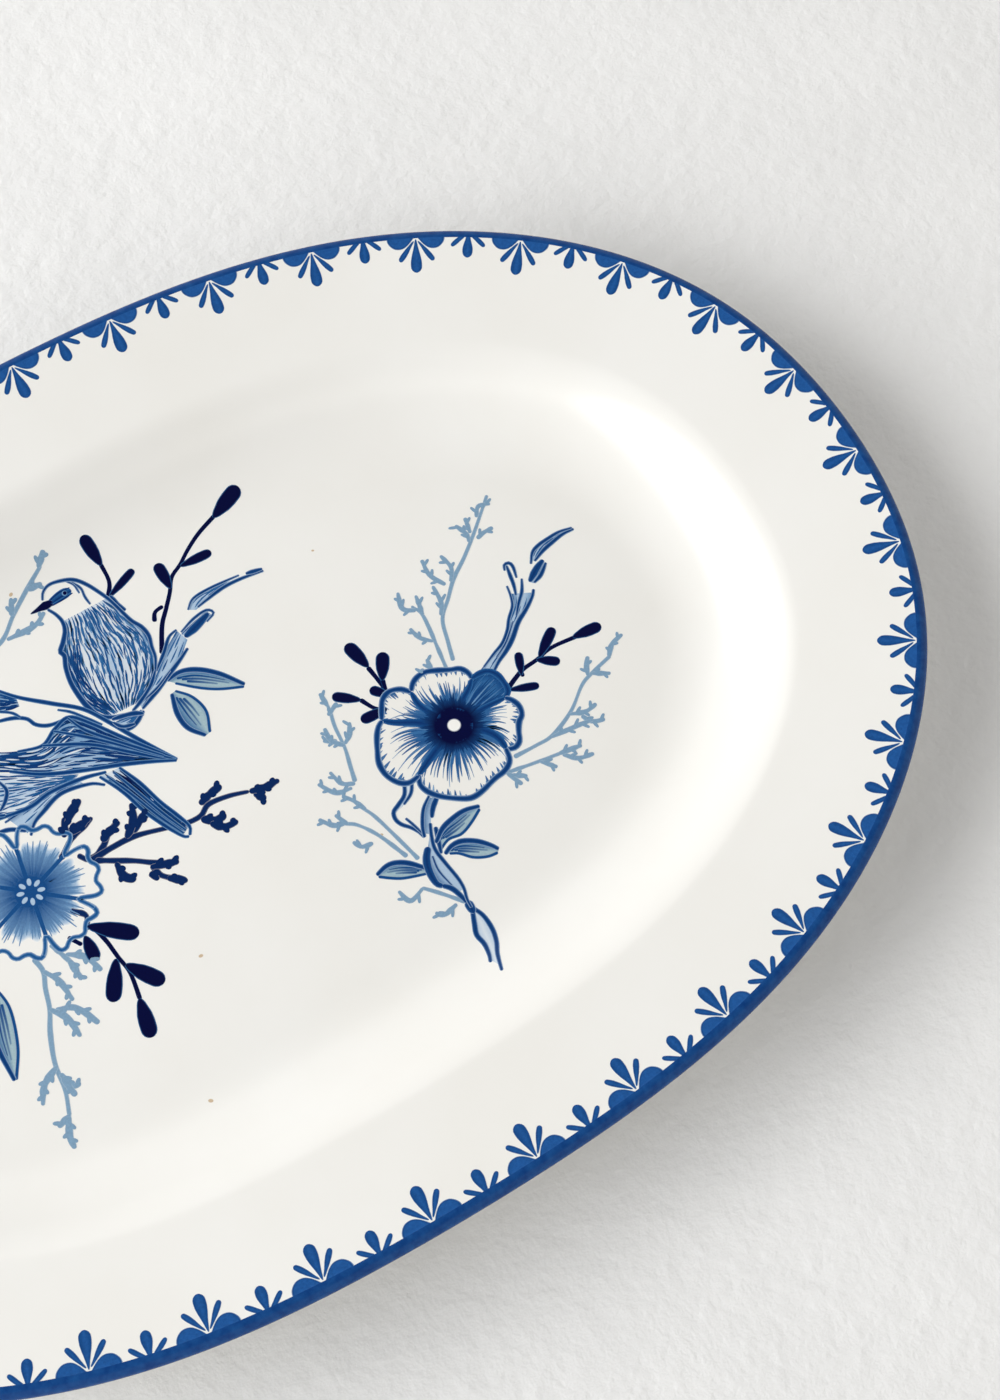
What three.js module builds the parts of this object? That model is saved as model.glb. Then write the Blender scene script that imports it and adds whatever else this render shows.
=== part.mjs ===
// Oval porcelain serving platter with a cobalt edge line, a scalloped border and three printed sprays.
// Millimetres, +Z up. The origin is the middle of the footprint, on the surface the platter stands on.
// +X runs along the platter, and the printed sprays grow towards +Y.
import * as THREE from "three";

// ---- Oval outline -------------------------------------------------------------------------------------------
const PLATTER_LENGTH = 360; // tip to tip, over the edge line
const PLATTER_WIDTH = 246; // side to side, over the edge line
const OVAL_FULLNESS = 0.048; // how much fuller than a true ellipse the oval is, midway between axes
const OVAL_SIDE_DRAW = -0.027; // shifts that fullness of the long sides towards the tips

// ---- Section of the china body ------------------------------------------------------------------------------
const FLANGE_WIDTH = 35; // edge to shoulder
const FLANGE_RISE = 5; // how much higher the edge stands than the shoulder
const SHOULDER_BLEND = 5; // half width of the rounding between flange and cavetto
const CAVETTO_WIDTH = 28; // shoulder to the flat of the well
const CAVETTO_DEPTH = 12; // shoulder to the flat of the well
const WALL_THICKNESS = 3.8; // flange and cavetto
const FLOOR_THICKNESS = 4.5; // flat of the well
const FOOT_HEIGHT = 3; // foot ring under the floor
const FOOT_WIDTH = 3.5; // bearing face of the foot ring
const FOOT_DRAFT = 1; // slope of each foot face, so that the body leaves its mould
const FOOT_OVERHANG = 60; // edge to the outer face of the foot ring

// ---- Glaze and printed films --------------------------------------------------------------------------------
const GLAZE_THICKNESS = 0.35;
const FILM_THICKNESS = 0.2; // a fired transfer and its flux
const LAYER_GAP = 0.1; // between layers that follow one another facet by facet
const SHEET_GAP = 0.35; // under a transfer, whose facets are not those of the glaze
const GLAZE_FOOT_GAP = 0.6; // bare strip left beside the foot ring, where the glaze is wiped
const EDGE_LINE_REACH = 0.4; // how far the edge line comes in past the lip, over face and back
const LINE_TO_GLAZE = 0.3; // edge line to the glaze beside it

// ---- Scalloped border ---------------------------------------------------------------------------------------
const BORDER_REPEATS = 36; // large sprigs round the platter, with a small one between each two
const BORDER_STRIPS = 4; // the border print is laid as strips, end to end
const STRIP_GAP = 0.3; // where one strip ends and the next starts
const BORDER_PHASE = 0.63; // first large sprig past the +X tip, as a share of a repeat
const BORDER_BAND = 5; // scallop depth, measured from the edge
const BORDER_LARGE_SPRIG = 10.8; // large sprig's tip, measured from the edge
const BORDER_SMALL_SPRIG = 7.8; // small sprig's tip, measured from the edge

// ---- Mesh fineness ------------------------------------------------------------------------------------------
const OVAL_STEPS = 64;
const LIP_STEPS = 6;
const SHOULDER_STEPS = 3;
const CAVETTO_STEPS = 4;
const SHEET_STEPS = 30;
const SHEET_RINGS = 5;

// ---- Levels that follow from the sizes above ----------------------------------------------------------------
const EDGE_BUILDUP = LAYER_GAP + GLAZE_THICKNESS; // edge line over the china
const FLOOR_LEVEL = FOOT_HEIGHT + FLOOR_THICKNESS;
const SHOULDER_LEVEL = FLOOR_LEVEL + CAVETTO_DEPTH;
const LIP_RADIUS = WALL_THICKNESS / 2;

// A point of the platter's outline and the outward normal there, for an angle from +X.
function outlineAt(angle) {
  const point = (a) => {
    const bulge = Math.sin(2 * a) ** 2;
    const x = (PLATTER_LENGTH / 2) * Math.cos(a) * (1 + OVAL_FULLNESS * bulge);
    const draw = OVAL_SIDE_DRAW * bulge * Math.cos(2 * a);
    const y = (PLATTER_WIDTH / 2) * Math.sin(a) * (1 + OVAL_FULLNESS * bulge + draw);
    return new THREE.Vector2(x, y);
  };
  const nudge = 1e-4;
  const along = point(angle + nudge).sub(point(angle - nudge)).normalize();
  return { point: point(angle), normal: new THREE.Vector2(along.y, -along.x) };
}

// Distances along the outline from the +X tip, for evenly spread angles.
const OUTLINE_SAMPLES = 2880;
const DISTANCES = [0];
for (let i = 1; i <= OUTLINE_SAMPLES; i += 1) {
  const here = outlineAt((2 * Math.PI * i) / OUTLINE_SAMPLES).point;
  const before = outlineAt((2 * Math.PI * (i - 1)) / OUTLINE_SAMPLES).point;
  DISTANCES.push(DISTANCES[i - 1] + here.distanceTo(before));
}
const OUTLINE_LENGTH = DISTANCES[OUTLINE_SAMPLES];

// The angle whose outline point lies at a distance round the platter from the +X tip.
function angleAt(distance) {
  const wanted = distance % OUTLINE_LENGTH;
  const i = DISTANCES.findIndex((reached) => reached > wanted) - 1;
  const share = (wanted - DISTANCES[i]) / (DISTANCES[i + 1] - DISTANCES[i]);
  return (2 * Math.PI * (i + share)) / OUTLINE_SAMPLES;
}

// Angles whose outline points lie at equal distances round the platter.
function evenAngles(count) {
  return Array.from({ length: count }, (_, k) => angleAt((OUTLINE_LENGTH * k) / count));
}

const OUTLINE = evenAngles(OVAL_STEPS).map(outlineAt);

// ---- Section of the face, by the inset from the outline ------------------------------------------------------
const at = (inset, height) => new THREE.Vector2(inset, height);
const CAVETTO_RADIUS = (CAVETTO_WIDTH ** 2 + CAVETTO_DEPTH ** 2) / (2 * CAVETTO_DEPTH);
const FLANGE_START = EDGE_BUILDUP + LIP_RADIUS;
const FLANGE_SLOPE = FLANGE_RISE / (FLANGE_WIDTH - FLANGE_START);
const FLOOR_START = FLANGE_WIDTH + CAVETTO_WIDTH;
const BLEND_START = FLANGE_WIDTH - SHOULDER_BLEND;
const BLEND_END = FLANGE_WIDTH + SHOULDER_BLEND;

// The cavetto is an arc that runs out level into the floor.
function cavettoHeight(inset) {
  const reach = FLOOR_START - inset;
  return FLOOR_LEVEL + CAVETTO_RADIUS - Math.sqrt(CAVETTO_RADIUS ** 2 - reach ** 2);
}

function cavettoSlope(inset) {
  const reach = FLOOR_START - inset;
  return reach / Math.sqrt(CAVETTO_RADIUS ** 2 - reach ** 2);
}

function flangeHeight(inset) {
  return SHOULDER_LEVEL + FLANGE_SLOPE * (FLANGE_WIDTH - inset);
}

// The shoulder's rounding: a cubic that meets the flange and the cavetto along their tangents.
function shoulderHeight(inset) {
  const width = BLEND_END - BLEND_START;
  const t = (inset - BLEND_START) / width;
  const start = flangeHeight(BLEND_START) * (1 + 2 * t) - FLANGE_SLOPE * width * t;
  const end = cavettoHeight(BLEND_END) * (3 - 2 * t) + cavettoSlope(BLEND_END) * width * (1 - t);
  return start * (1 - t) ** 2 + end * t ** 2;
}

// Height of the china's face above the table.
function faceHeight(inset) {
  if (inset <= BLEND_START) return flangeHeight(inset);
  if (inset <= BLEND_END) return shoulderHeight(inset);
  return cavettoHeight(Math.min(inset, FLOOR_START));
}

// The face from the lip in to the flat of the well.
function facePoints() {
  const insets = [FLANGE_START];
  for (let i = 0; i < SHOULDER_STEPS; i += 1) {
    insets.push(BLEND_START + ((BLEND_END - BLEND_START) * i) / SHOULDER_STEPS);
  }
  for (let i = 0; i <= CAVETTO_STEPS; i += 1) {
    insets.push(BLEND_END + ((FLOOR_START - BLEND_END) * i) / CAVETTO_STEPS);
  }
  return insets.map((inset) => at(inset, faceHeight(inset)));
}

// A section curve moved sideways by a distance, away from the china where it is positive.
// The curve runs inwards over the face, so away from the china is to its left.
function offsetCurve(points, distance) {
  return points.map((point, i) => {
    const before = points[Math.max(i - 1, 0)];
    const after = points[Math.min(i + 1, points.length - 1)];
    const into = point.clone().sub(before).normalize();
    const out = after.clone().sub(point).normalize();
    const along = into.clone().add(out).normalize();
    const mitre = distance / Math.max(along.dot(i ? into : out), Math.SQRT1_2);
    return at(point.x - along.y * mitre, point.y + along.x * mitre);
  });
}

// The half-round lip, from its top over the outside to its bottom, grown outwards by a distance.
const LIP_CENTRE = at(FLANGE_START, flangeHeight(FLANGE_START) - LIP_RADIUS);
function lipPoints(growth) {
  const points = [];
  for (let i = 0; i <= LIP_STEPS; i += 1) {
    const turn = Math.PI / 2 + (Math.PI * i) / LIP_STEPS;
    const radius = LIP_RADIUS + growth;
    points.push(at(LIP_CENTRE.x + radius * Math.cos(turn), LIP_CENTRE.y + radius * Math.sin(turn)));
  }
  return points;
}

// The back of the flange and cavetto, from the lip in to the foot ring.
function backPoints() {
  const back = offsetCurve(facePoints(), -WALL_THICKNESS);
  return back.filter((point) => point.x > FLANGE_START && point.x < FOOT_OVERHANG - FOOT_DRAFT);
}

// ---- Solids -------------------------------------------------------------------------------------------------
// Sweeps a section round the oval. Points of the section go from inset 0 at the outline inwards. A section
// that is open starts and ends on the platter's middle, and is closed there by a point above and one below.
function sweepSection(section, open) {
  const positions = [];
  section.forEach(({ x: inset, y: height }) =>
    OUTLINE.forEach(({ point, normal }) =>
      positions.push(point.x - normal.x * inset, point.y - normal.y * inset, height),
    ),
  );
  const faces = [];
  const rings = section.length;
  for (let r = 0; r < (open ? rings - 1 : rings); r += 1) {
    for (let i = 0; i < OVAL_STEPS; i += 1) {
      const j = (i + 1) % OVAL_STEPS;
      const here = r * OVAL_STEPS;
      const next = ((r + 1) % rings) * OVAL_STEPS;
      faces.push(here + i, next + j, here + j, here + i, next + i, next + j);
    }
  }
  if (open) {
    const first = positions.length / 3;
    positions.push(0, 0, section[0].y, 0, 0, section[rings - 1].y);
    const last = (rings - 1) * OVAL_STEPS;
    for (let i = 0; i < OVAL_STEPS; i += 1) {
      const j = (i + 1) % OVAL_STEPS;
      faces.push(first, i, j, first + 1, last + j, last + i);
    }
  }
  return geometryOf(positions, faces);
}

function geometryOf(positions, faces) {
  const geometry = new THREE.BufferGeometry();
  geometry.setAttribute("position", new THREE.Float32BufferAttribute(positions, 3));
  geometry.setIndex(faces);
  geometry.computeVertexNormals();
  return geometry;
}

// A thin shell beside a section curve: from one distance off the curve to another.
function shellSection(curve, near, far) {
  return [...offsetCurve(curve, far).reverse(), ...offsetCurve(curve, near)];
}

// The pressed china body, with its lip, foot ring and the recess under the floor.
function bodyGeometry() {
  const face = facePoints();
  const foot = [
    at(FOOT_OVERHANG - FOOT_DRAFT, FOOT_HEIGHT),
    at(FOOT_OVERHANG, 0),
    at(FOOT_OVERHANG + FOOT_WIDTH, 0),
    at(FOOT_OVERHANG + FOOT_WIDTH + FOOT_DRAFT, FOOT_HEIGHT),
  ];
  const section = [...face.reverse(), ...lipPoints(0).slice(1, -1), ...backPoints(), ...foot];
  return sweepSection(section, true);
}

// The cobalt line that wraps the lip. It stands in for the glaze over the strip that it covers.
function edgeLineGeometry() {
  const reach = EDGE_BUILDUP + EDGE_LINE_REACH + LIP_RADIUS;
  const face = [at(reach, flangeHeight(reach)), at(FLANGE_START, flangeHeight(FLANGE_START))];
  const back = backPoints()[0];
  const backStart = at(LIP_CENTRE.x, LIP_CENTRE.y - LIP_RADIUS);
  const backSlope = (back.y - backStart.y) / (back.x - backStart.x);
  const backEnd = at(reach, backStart.y + backSlope * (reach - backStart.x));
  const around = (growth) => [
    at(face[0].x, face[0].y + growth),
    ...lipPoints(growth),
    at(backEnd.x, backEnd.y - growth),
  ];
  return sweepSection([...around(EDGE_BUILDUP), ...around(LAYER_GAP).reverse()], false);
}

// The glaze over the whole face inside the edge line.
function faceGlazeGeometry() {
  const start = EDGE_BUILDUP + EDGE_LINE_REACH + LIP_RADIUS + LINE_TO_GLAZE;
  const face = [at(start, flangeHeight(start)), ...facePoints().slice(1)];
  const upper = offsetCurve(face, LAYER_GAP + GLAZE_THICKNESS);
  const lower = offsetCurve(face, LAYER_GAP);
  return sweepSection([...upper.reverse(), ...lower], true);
}

// The glaze over the back, from the edge line in to the bare foot ring.
function backGlazeGeometry() {
  const start = EDGE_BUILDUP + EDGE_LINE_REACH + LIP_RADIUS + LINE_TO_GLAZE;
  const lipBottom = at(LIP_CENTRE.x, LIP_CENTRE.y - LIP_RADIUS);
  const points = backPoints().filter((point) => point.x < FOOT_OVERHANG - FOOT_DRAFT - GLAZE_FOOT_GAP);
  const slope = (points[0].y - lipBottom.y) / (points[0].x - lipBottom.x);
  const back = [at(start, lipBottom.y + slope * (start - lipBottom.x)), ...points];
  return sweepSection(shellSection(back, -LAYER_GAP - GLAZE_THICKNESS, -LAYER_GAP), false);
}

// The glaze in the shallow recess inside the foot ring.
function recessGlazeGeometry() {
  const start = FOOT_OVERHANG + FOOT_WIDTH + FOOT_DRAFT + GLAZE_FOOT_GAP;
  const upper = at(start, FOOT_HEIGHT - LAYER_GAP);
  const lower = at(start, FOOT_HEIGHT - LAYER_GAP - GLAZE_THICKNESS);
  return sweepSection([upper, lower], true);
}

// How far in from the edge the border reaches, at a share of one repeat that starts on a large sprig.
function borderDepth(share) {
  const largeSprig = Math.max(0, Math.cos(2 * Math.PI * share)) ** 3;
  const smallSprig = Math.max(0, -Math.cos(2 * Math.PI * share)) ** 3;
  const large = (BORDER_LARGE_SPRIG - BORDER_BAND) * largeSprig;
  const small = (BORDER_SMALL_SPRIG - BORDER_BAND) * smallSprig;
  return BORDER_BAND + large + small;
}

// One strip of the scalloped transfer that lies on the flange inside the edge line.
function borderStripGeometry(strip) {
  const stepsPerRepeat = 6;
  const repeats = BORDER_REPEATS / BORDER_STRIPS;
  const start = EDGE_BUILDUP + EDGE_LINE_REACH + LIP_RADIUS + LINE_TO_GLAZE;
  const lift = LAYER_GAP + GLAZE_THICKNESS + SHEET_GAP;
  const pitch = OUTLINE_LENGTH / BORDER_REPEATS;
  const positions = [];
  const steps = repeats * stepsPerRepeat;
  for (let i = 0; i <= steps; i += 1) {
    const share = i / stepsPerRepeat;
    const trim = i === 0 ? STRIP_GAP / 2 : i === steps ? -STRIP_GAP / 2 : 0;
    const { point, normal } = outlineAt(angleAt((strip * repeats + share + BORDER_PHASE) * pitch + trim));
    const depth = borderDepth(share);
    const corners = [
      at(start, flangeHeight(start) + lift + FILM_THICKNESS),
      at(start, flangeHeight(start) + lift),
      at(depth, flangeHeight(depth) + lift),
      at(depth, flangeHeight(depth) + lift + FILM_THICKNESS),
    ];
    corners.forEach(({ x: inset, y: height }) =>
      positions.push(point.x - normal.x * inset, point.y - normal.y * inset, height),
    );
  }
  const faces = [0, 2, 1, 0, 3, 2];
  for (let i = 0; i < steps; i += 1) {
    const here = 4 * i;
    const next = 4 * (i + 1);
    for (let k = 0; k < 4; k += 1) {
      const m = (k + 1) % 4;
      faces.push(here + k, here + m, next + m, here + k, next + m, next + k);
    }
  }
  const last = 4 * steps;
  faces.push(last, last + 1, last + 2, last, last + 2, last + 3);
  return geometryOf(positions, faces);
}

// ---- Sprays -------------------------------------------------------------------------------------------------
// Height of the glaze over any point of the platter.
const DENSE_OUTLINE = evenAngles(8 * OVAL_STEPS).map((angle) => outlineAt(angle).point);
function glazeHeight(x, y) {
  const here = new THREE.Vector2(x, y);
  const inset = Math.min(...DENSE_OUTLINE.map((point) => point.distanceTo(here)));
  const step = 0.1;
  const slope = (faceHeight(inset - step) - faceHeight(inset + step)) / (2 * step);
  return faceHeight(inset) + (LAYER_GAP + GLAZE_THICKNESS) * Math.hypot(1, slope);
}

// A transfer sheet: a thin film that follows the well under a closed outline, which is smooth through its
// corner points and can be seen whole from its middle.
function sheetGeometry(middle, corners) {
  const loop = new THREE.CatmullRomCurve3(
    corners.map((corner) => new THREE.Vector3(...inWell(corner), 0)),
    true,
  );
  const rim = loop.getPoints(SHEET_STEPS).slice(0, -1);
  const [centreX, centreY] = inWell(middle);
  const positions = [];
  const addLayer = (lift) => {
    positions.push(centreX, centreY, glazeHeight(centreX, centreY) + lift);
    for (let r = 1; r <= SHEET_RINGS; r += 1) {
      rim.forEach((point) => {
        const x = centreX + ((point.x - centreX) * r) / SHEET_RINGS;
        const y = centreY + ((point.y - centreY) * r) / SHEET_RINGS;
        positions.push(x, y, glazeHeight(x, y) + lift);
      });
    }
  };
  addLayer(SHEET_GAP + FILM_THICKNESS);
  addLayer(SHEET_GAP);
  const layer = 1 + SHEET_RINGS * SHEET_STEPS;
  const upper = [];
  for (let i = 0; i < SHEET_STEPS; i += 1) {
    const j = (i + 1) % SHEET_STEPS;
    upper.push([0, 1 + i, 1 + j]);
    for (let r = 1; r < SHEET_RINGS; r += 1) {
      const inner = 1 + (r - 1) * SHEET_STEPS;
      const outer = 1 + r * SHEET_STEPS;
      upper.push([inner + i, outer + i, outer + j], [inner + i, outer + j, inner + j]);
    }
  }
  const faces = upper.flat();
  upper.forEach(([a, b, c]) => faces.push(a + layer, c + layer, b + layer));
  const edge = 1 + (SHEET_RINGS - 1) * SHEET_STEPS;
  for (let i = 0; i < SHEET_STEPS; i += 1) {
    const a = edge + i;
    const b = edge + ((i + 1) % SHEET_STEPS);
    faces.push(a, a + layer, b + layer, a, b + layer, b);
  }
  return geometryOf(positions, faces);
}

// The well inside the shoulder. The sprays' points are shares of its half length and half width.
const WELL_REACH = [PLATTER_LENGTH / 2 - FLANGE_WIDTH, PLATTER_WIDTH / 2 - FLANGE_WIDTH];
const inWell = ([x, y]) => [x * WELL_REACH[0], y * WELL_REACH[1]];

// The pansy spray towards the +X end. Its stalk runs to -Y, part of the way up the cavetto.
const PANSY_SPRAY_MIDDLE = [0.4, -0.2];
const PANSY_SPRAY_CORNERS = [
  [0.25, -0.88],
  [0.32, -0.62],
  [0.55, -0.5],
  [0.73, -0.25],
  [0.76, 0.14],
  [0.66, 0.38],
  [0.46, 0.3],
  [0.28, 0.16],
  [0.15, -0.11],
  [0.11, -0.34],
  [0.14, -0.61],
];

// The bird and blossom spray, which fills the well from its middle to the -X end.
const BIRD_SPRAY_MIDDLE = [-0.26, 0];
const BIRD_SPRAY_CORNERS = [
  [-0.32, -0.76],
  [-0.2, -0.52],
  [0, -0.28],
  [0.12, -0.06],
  [0.15, 0.27],
  [0.31, 0.7],
  [0.04, 0.84],
  [-0.2, 0.8],
  [-0.44, 0.68],
  [-0.62, 0.36],
  [-0.7, -0.02],
  [-0.56, -0.42],
];

const porcelain = (colour, roughness) =>
  new THREE.MeshStandardMaterial({ color: colour, roughness, metalness: 0 });

const platter = new THREE.Group();
function addPart(name, geometry, material) {
  const mesh = new THREE.Mesh(geometry, material);
  mesh.name = name;
  platter.add(mesh);
}

addPart("china_body", bodyGeometry(), porcelain("#efece4", 0.5));
addPart("edge_line", edgeLineGeometry(), porcelain("#2c5fa0", 0.12));
addPart("face_glaze", faceGlazeGeometry(), porcelain("#f2f0eb", 0.08));
addPart("back_glaze", backGlazeGeometry(), porcelain("#f2f0eb", 0.08));
addPart("foot_recess_glaze", recessGlazeGeometry(), porcelain("#f2f0eb", 0.08));
for (let strip = 0; strip < BORDER_STRIPS; strip += 1) {
  addPart(`border_strip_${strip + 1}`, borderStripGeometry(strip), porcelain("#2c5fa0", 0.12));
}
addPart(
  "bird_spray_transfer",
  sheetGeometry(BIRD_SPRAY_MIDDLE, BIRD_SPRAY_CORNERS),
  porcelain("#1a4590", 0.12),
);
addPart(
  "pansy_spray_transfer",
  sheetGeometry(PANSY_SPRAY_MIDDLE, PANSY_SPRAY_CORNERS),
  porcelain("#06104f", 0.12),
);

export default platter;
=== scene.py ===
"""Oval china serving platter: glazed porcelain, a cobalt edge line, a scalloped border and printed sprays.

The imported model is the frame. Lengths are metres in the frame and in the mesh code, and the drawing of the
prints is in millimetres on the platter's plan, with +X along the platter.
"""

import math
from types import SimpleNamespace

import bmesh
import bpy
import numpy as np
from bpy.props import FloatProperty, FloatVectorProperty, IntProperty, PointerProperty
from mathutils import Euler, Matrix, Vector
from mathutils.kdtree import KDTree


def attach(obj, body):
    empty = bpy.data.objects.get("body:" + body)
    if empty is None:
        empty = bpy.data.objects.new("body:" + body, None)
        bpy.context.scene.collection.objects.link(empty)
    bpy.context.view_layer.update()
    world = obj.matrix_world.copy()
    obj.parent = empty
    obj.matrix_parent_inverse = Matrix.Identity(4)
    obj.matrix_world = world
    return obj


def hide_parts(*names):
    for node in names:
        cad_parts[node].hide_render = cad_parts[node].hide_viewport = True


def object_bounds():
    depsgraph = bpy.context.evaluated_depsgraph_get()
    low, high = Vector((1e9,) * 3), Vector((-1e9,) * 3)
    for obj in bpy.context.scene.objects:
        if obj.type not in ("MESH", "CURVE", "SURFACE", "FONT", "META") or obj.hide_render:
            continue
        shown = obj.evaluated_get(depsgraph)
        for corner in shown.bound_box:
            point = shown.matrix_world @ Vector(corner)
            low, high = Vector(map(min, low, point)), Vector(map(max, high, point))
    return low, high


bl_info = {
    "name": "China Serving Platter",
    "version": (1, 0, 0),
    "blender": (4, 5, 0),
    "location": "View3D > Sidebar > Platter",
    "description": "Builds an oval porcelain platter with its glaze, edge line, border and printed sprays",
    "category": "Add Mesh",
}

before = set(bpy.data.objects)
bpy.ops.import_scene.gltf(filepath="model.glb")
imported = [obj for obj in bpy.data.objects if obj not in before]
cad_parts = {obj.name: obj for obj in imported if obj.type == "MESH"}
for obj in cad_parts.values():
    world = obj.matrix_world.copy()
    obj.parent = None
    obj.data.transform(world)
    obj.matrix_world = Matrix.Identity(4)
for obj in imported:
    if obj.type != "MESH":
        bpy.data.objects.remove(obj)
CAD_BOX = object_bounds()

MM = 0.001
BODY = "root"


# ---- Colours and node helpers --------------------------------------------------------------------
def linear(hex_colour):
    """An sRGB hex colour as linear red, green and blue."""
    channels = [int(hex_colour[i : i + 2], 16) / 255 for i in (1, 3, 5)]
    return tuple(c / 12.92 if c <= 0.04045 else ((c + 0.055) / 1.055) ** 2.4 for c in channels)


def blend_colours(first, second, share):
    """A colour part of the way from the first to the second."""
    return np.asarray(first) * (1 - share) + np.asarray(second) * share


def add_node(tree, kind, links=None, **settings):
    """Adds a node with its settings.

    Each link is a socket to join or a value to set, by input name or number.
    """
    node = tree.nodes.new(kind)
    for name, value in settings.items():
        setattr(node, name, value)
    for name, source in (links or {}).items():
        if isinstance(source, bpy.types.NodeSocket):
            tree.links.new(source, node.inputs[name])
        else:
            node.inputs[name].default_value = source
    return node


# ---- The oval and its section --------------------------------------------------------------------
class Oval:
    """The platter's outline, stepped evenly by distance from the +X tip, and the heights inside it."""

    def __init__(self, sizes, steps=1440):
        self.sizes = sizes
        angle = np.linspace(0, 2 * math.pi, 16 * steps + 1)
        bulge = np.sin(2 * angle) ** 2
        full = 1 + sizes.fullness * bulge
        draw = sizes.side_draw * bulge * np.cos(2 * angle)
        x = sizes.length / 2 * np.cos(angle) * full
        y = sizes.width / 2 * np.sin(angle) * (full + draw)
        reached = np.r_[0, np.cumsum(np.hypot(np.diff(x), np.diff(y)))]
        even = np.linspace(0, reached[-1], steps + 1)[:-1]
        self.points = np.c_[np.interp(even, reached, x), np.interp(even, reached, y)]
        self.distance = even
        steps_round = np.roll(self.points, -1, axis=0) - self.points
        self.girth = float(np.hypot(*steps_round.T).sum())
        self.tree = KDTree(steps)
        for i, (px, py) in enumerate(self.points):
            self.tree.insert((px, py, 0), i)
        self.tree.balance()

    def inset(self, x, y):
        """Distance in from the outline of a point on the plan."""
        return self.tree.find((x, y, 0))[2]

    def face(self, inset):
        """Height of the china's face under the glaze."""
        s = self.sizes
        floor_start = s.flange_width + s.cavetto_width
        shoulder = s.foot_height + s.floor_thickness + s.cavetto_depth
        radius = (s.cavetto_width**2 + s.cavetto_depth**2) / (2 * s.cavetto_depth)
        rise = s.flange_rise / (s.flange_width - s.glaze - s.wall / 2)
        start, end = s.flange_width - s.shoulder, s.flange_width + s.shoulder

        def cavetto(at):
            return shoulder - s.cavetto_depth + radius - np.sqrt(radius**2 - (floor_start - at) ** 2)

        def flange(at):
            return shoulder + rise * (s.flange_width - at)

        inset = np.asarray(inset, float)
        share = (inset - start) / (end - start)
        reach = floor_start - end
        slope = reach / math.sqrt(radius**2 - reach**2)
        upper = flange(start) * (1 + 2 * share) - rise * (end - start) * share
        lower = cavetto(end) * (3 - 2 * share) + slope * (end - start) * (1 - share)
        rounding = upper * (1 - share) ** 2 + lower * share**2
        hollow = cavetto(np.clip(inset, end, floor_start))
        return np.where(inset <= start, flange(inset), np.where(inset <= end, rounding, hollow))

    def glazed(self, inset):
        """Height of the glaze over the face."""
        nudge = 0.1 * MM
        inset = np.asarray(inset, float)
        slope = (self.face(inset - nudge) - self.face(inset + nudge)) / (2 * nudge)
        level = self.face(inset) + self.sizes.glaze * np.hypot(1, slope)
        radius = self.sizes.glaze + self.sizes.wall / 2
        fall = np.sqrt(np.maximum(radius**2 - (radius - inset) ** 2, 0))
        lip = self.face(radius) - self.sizes.wall / 2 + fall
        return np.where(inset < radius, lip, np.where(inset < 1.5 * radius, np.maximum(level, lip), level))

    def on_glaze(self, plan, lift):
        """Points of a drawing in millimetres on the plan, laid on the glaze with a lift in millimetres."""
        plan = np.asarray(plan, float) * MM
        inset = np.array([self.inset(x, y) for x, y in plan])
        return np.c_[plan, self.glazed(inset) + np.asarray(lift) * MM]


def oval_of(context):
    """The oval that the scene's sizes give."""
    return Oval(context.scene.platter_sizes)


# ---- Meshes --------------------------------------------------------------------------------------
def link_mesh(name, mesh, material=None):
    """A mesh as an object of the scene, at the origin."""
    piece = bpy.data.objects.new(name, mesh)
    bpy.context.scene.collection.objects.link(piece)
    if material:
        mesh.materials.clear()
        mesh.materials.append(material)
    return piece


def smooth_path(points, count, closed=False):
    """Points spread evenly along a smooth curve through the given ones."""
    points = np.asarray(points, float)
    if len(points) == 2 and not closed:
        return points[0] + (points[1] - points[0]) * np.linspace(0, 1, count)[:, None]
    if closed:
        ends = np.r_[points[-1:], points, points[:2]]
    else:
        ends = np.r_[2 * points[:1] - points[1:2], points, 2 * points[-1:] - points[-2:-1]]
    t = np.linspace(0, 1, 13)[:-1, None]
    dense = []
    for a, b, c, d in zip(ends, ends[1:], ends[2:], ends[3:]):
        dense.append(b + 0.5 * t * (c - a + t * (2 * a - 5 * b + 4 * c - d + t * (3 * (b - c) + d - a))))
    dense = np.concatenate(dense + [ends[-2][None]])
    reached = np.r_[0, np.cumsum(np.hypot(*np.diff(dense, axis=0).T))]
    wanted = np.linspace(0, reached[-1], count + 1 if closed else count)
    wanted = wanted[:-1] if closed else wanted
    return np.c_[np.interp(wanted, reached, dense[:, 0]), np.interp(wanted, reached, dense[:, 1])]


def path_length(points):
    """Length of a path through points."""
    return float(np.hypot(*np.diff(np.asarray(points, float), axis=0).T).sum())


def across(path):
    """Unit vectors to the left of a path, at each of its points."""
    along = np.gradient(path, axis=0)
    along /= np.maximum(np.hypot(*along.T), 1e-9)[:, None]
    return np.c_[-along[:, 1], along[:, 0]]


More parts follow.
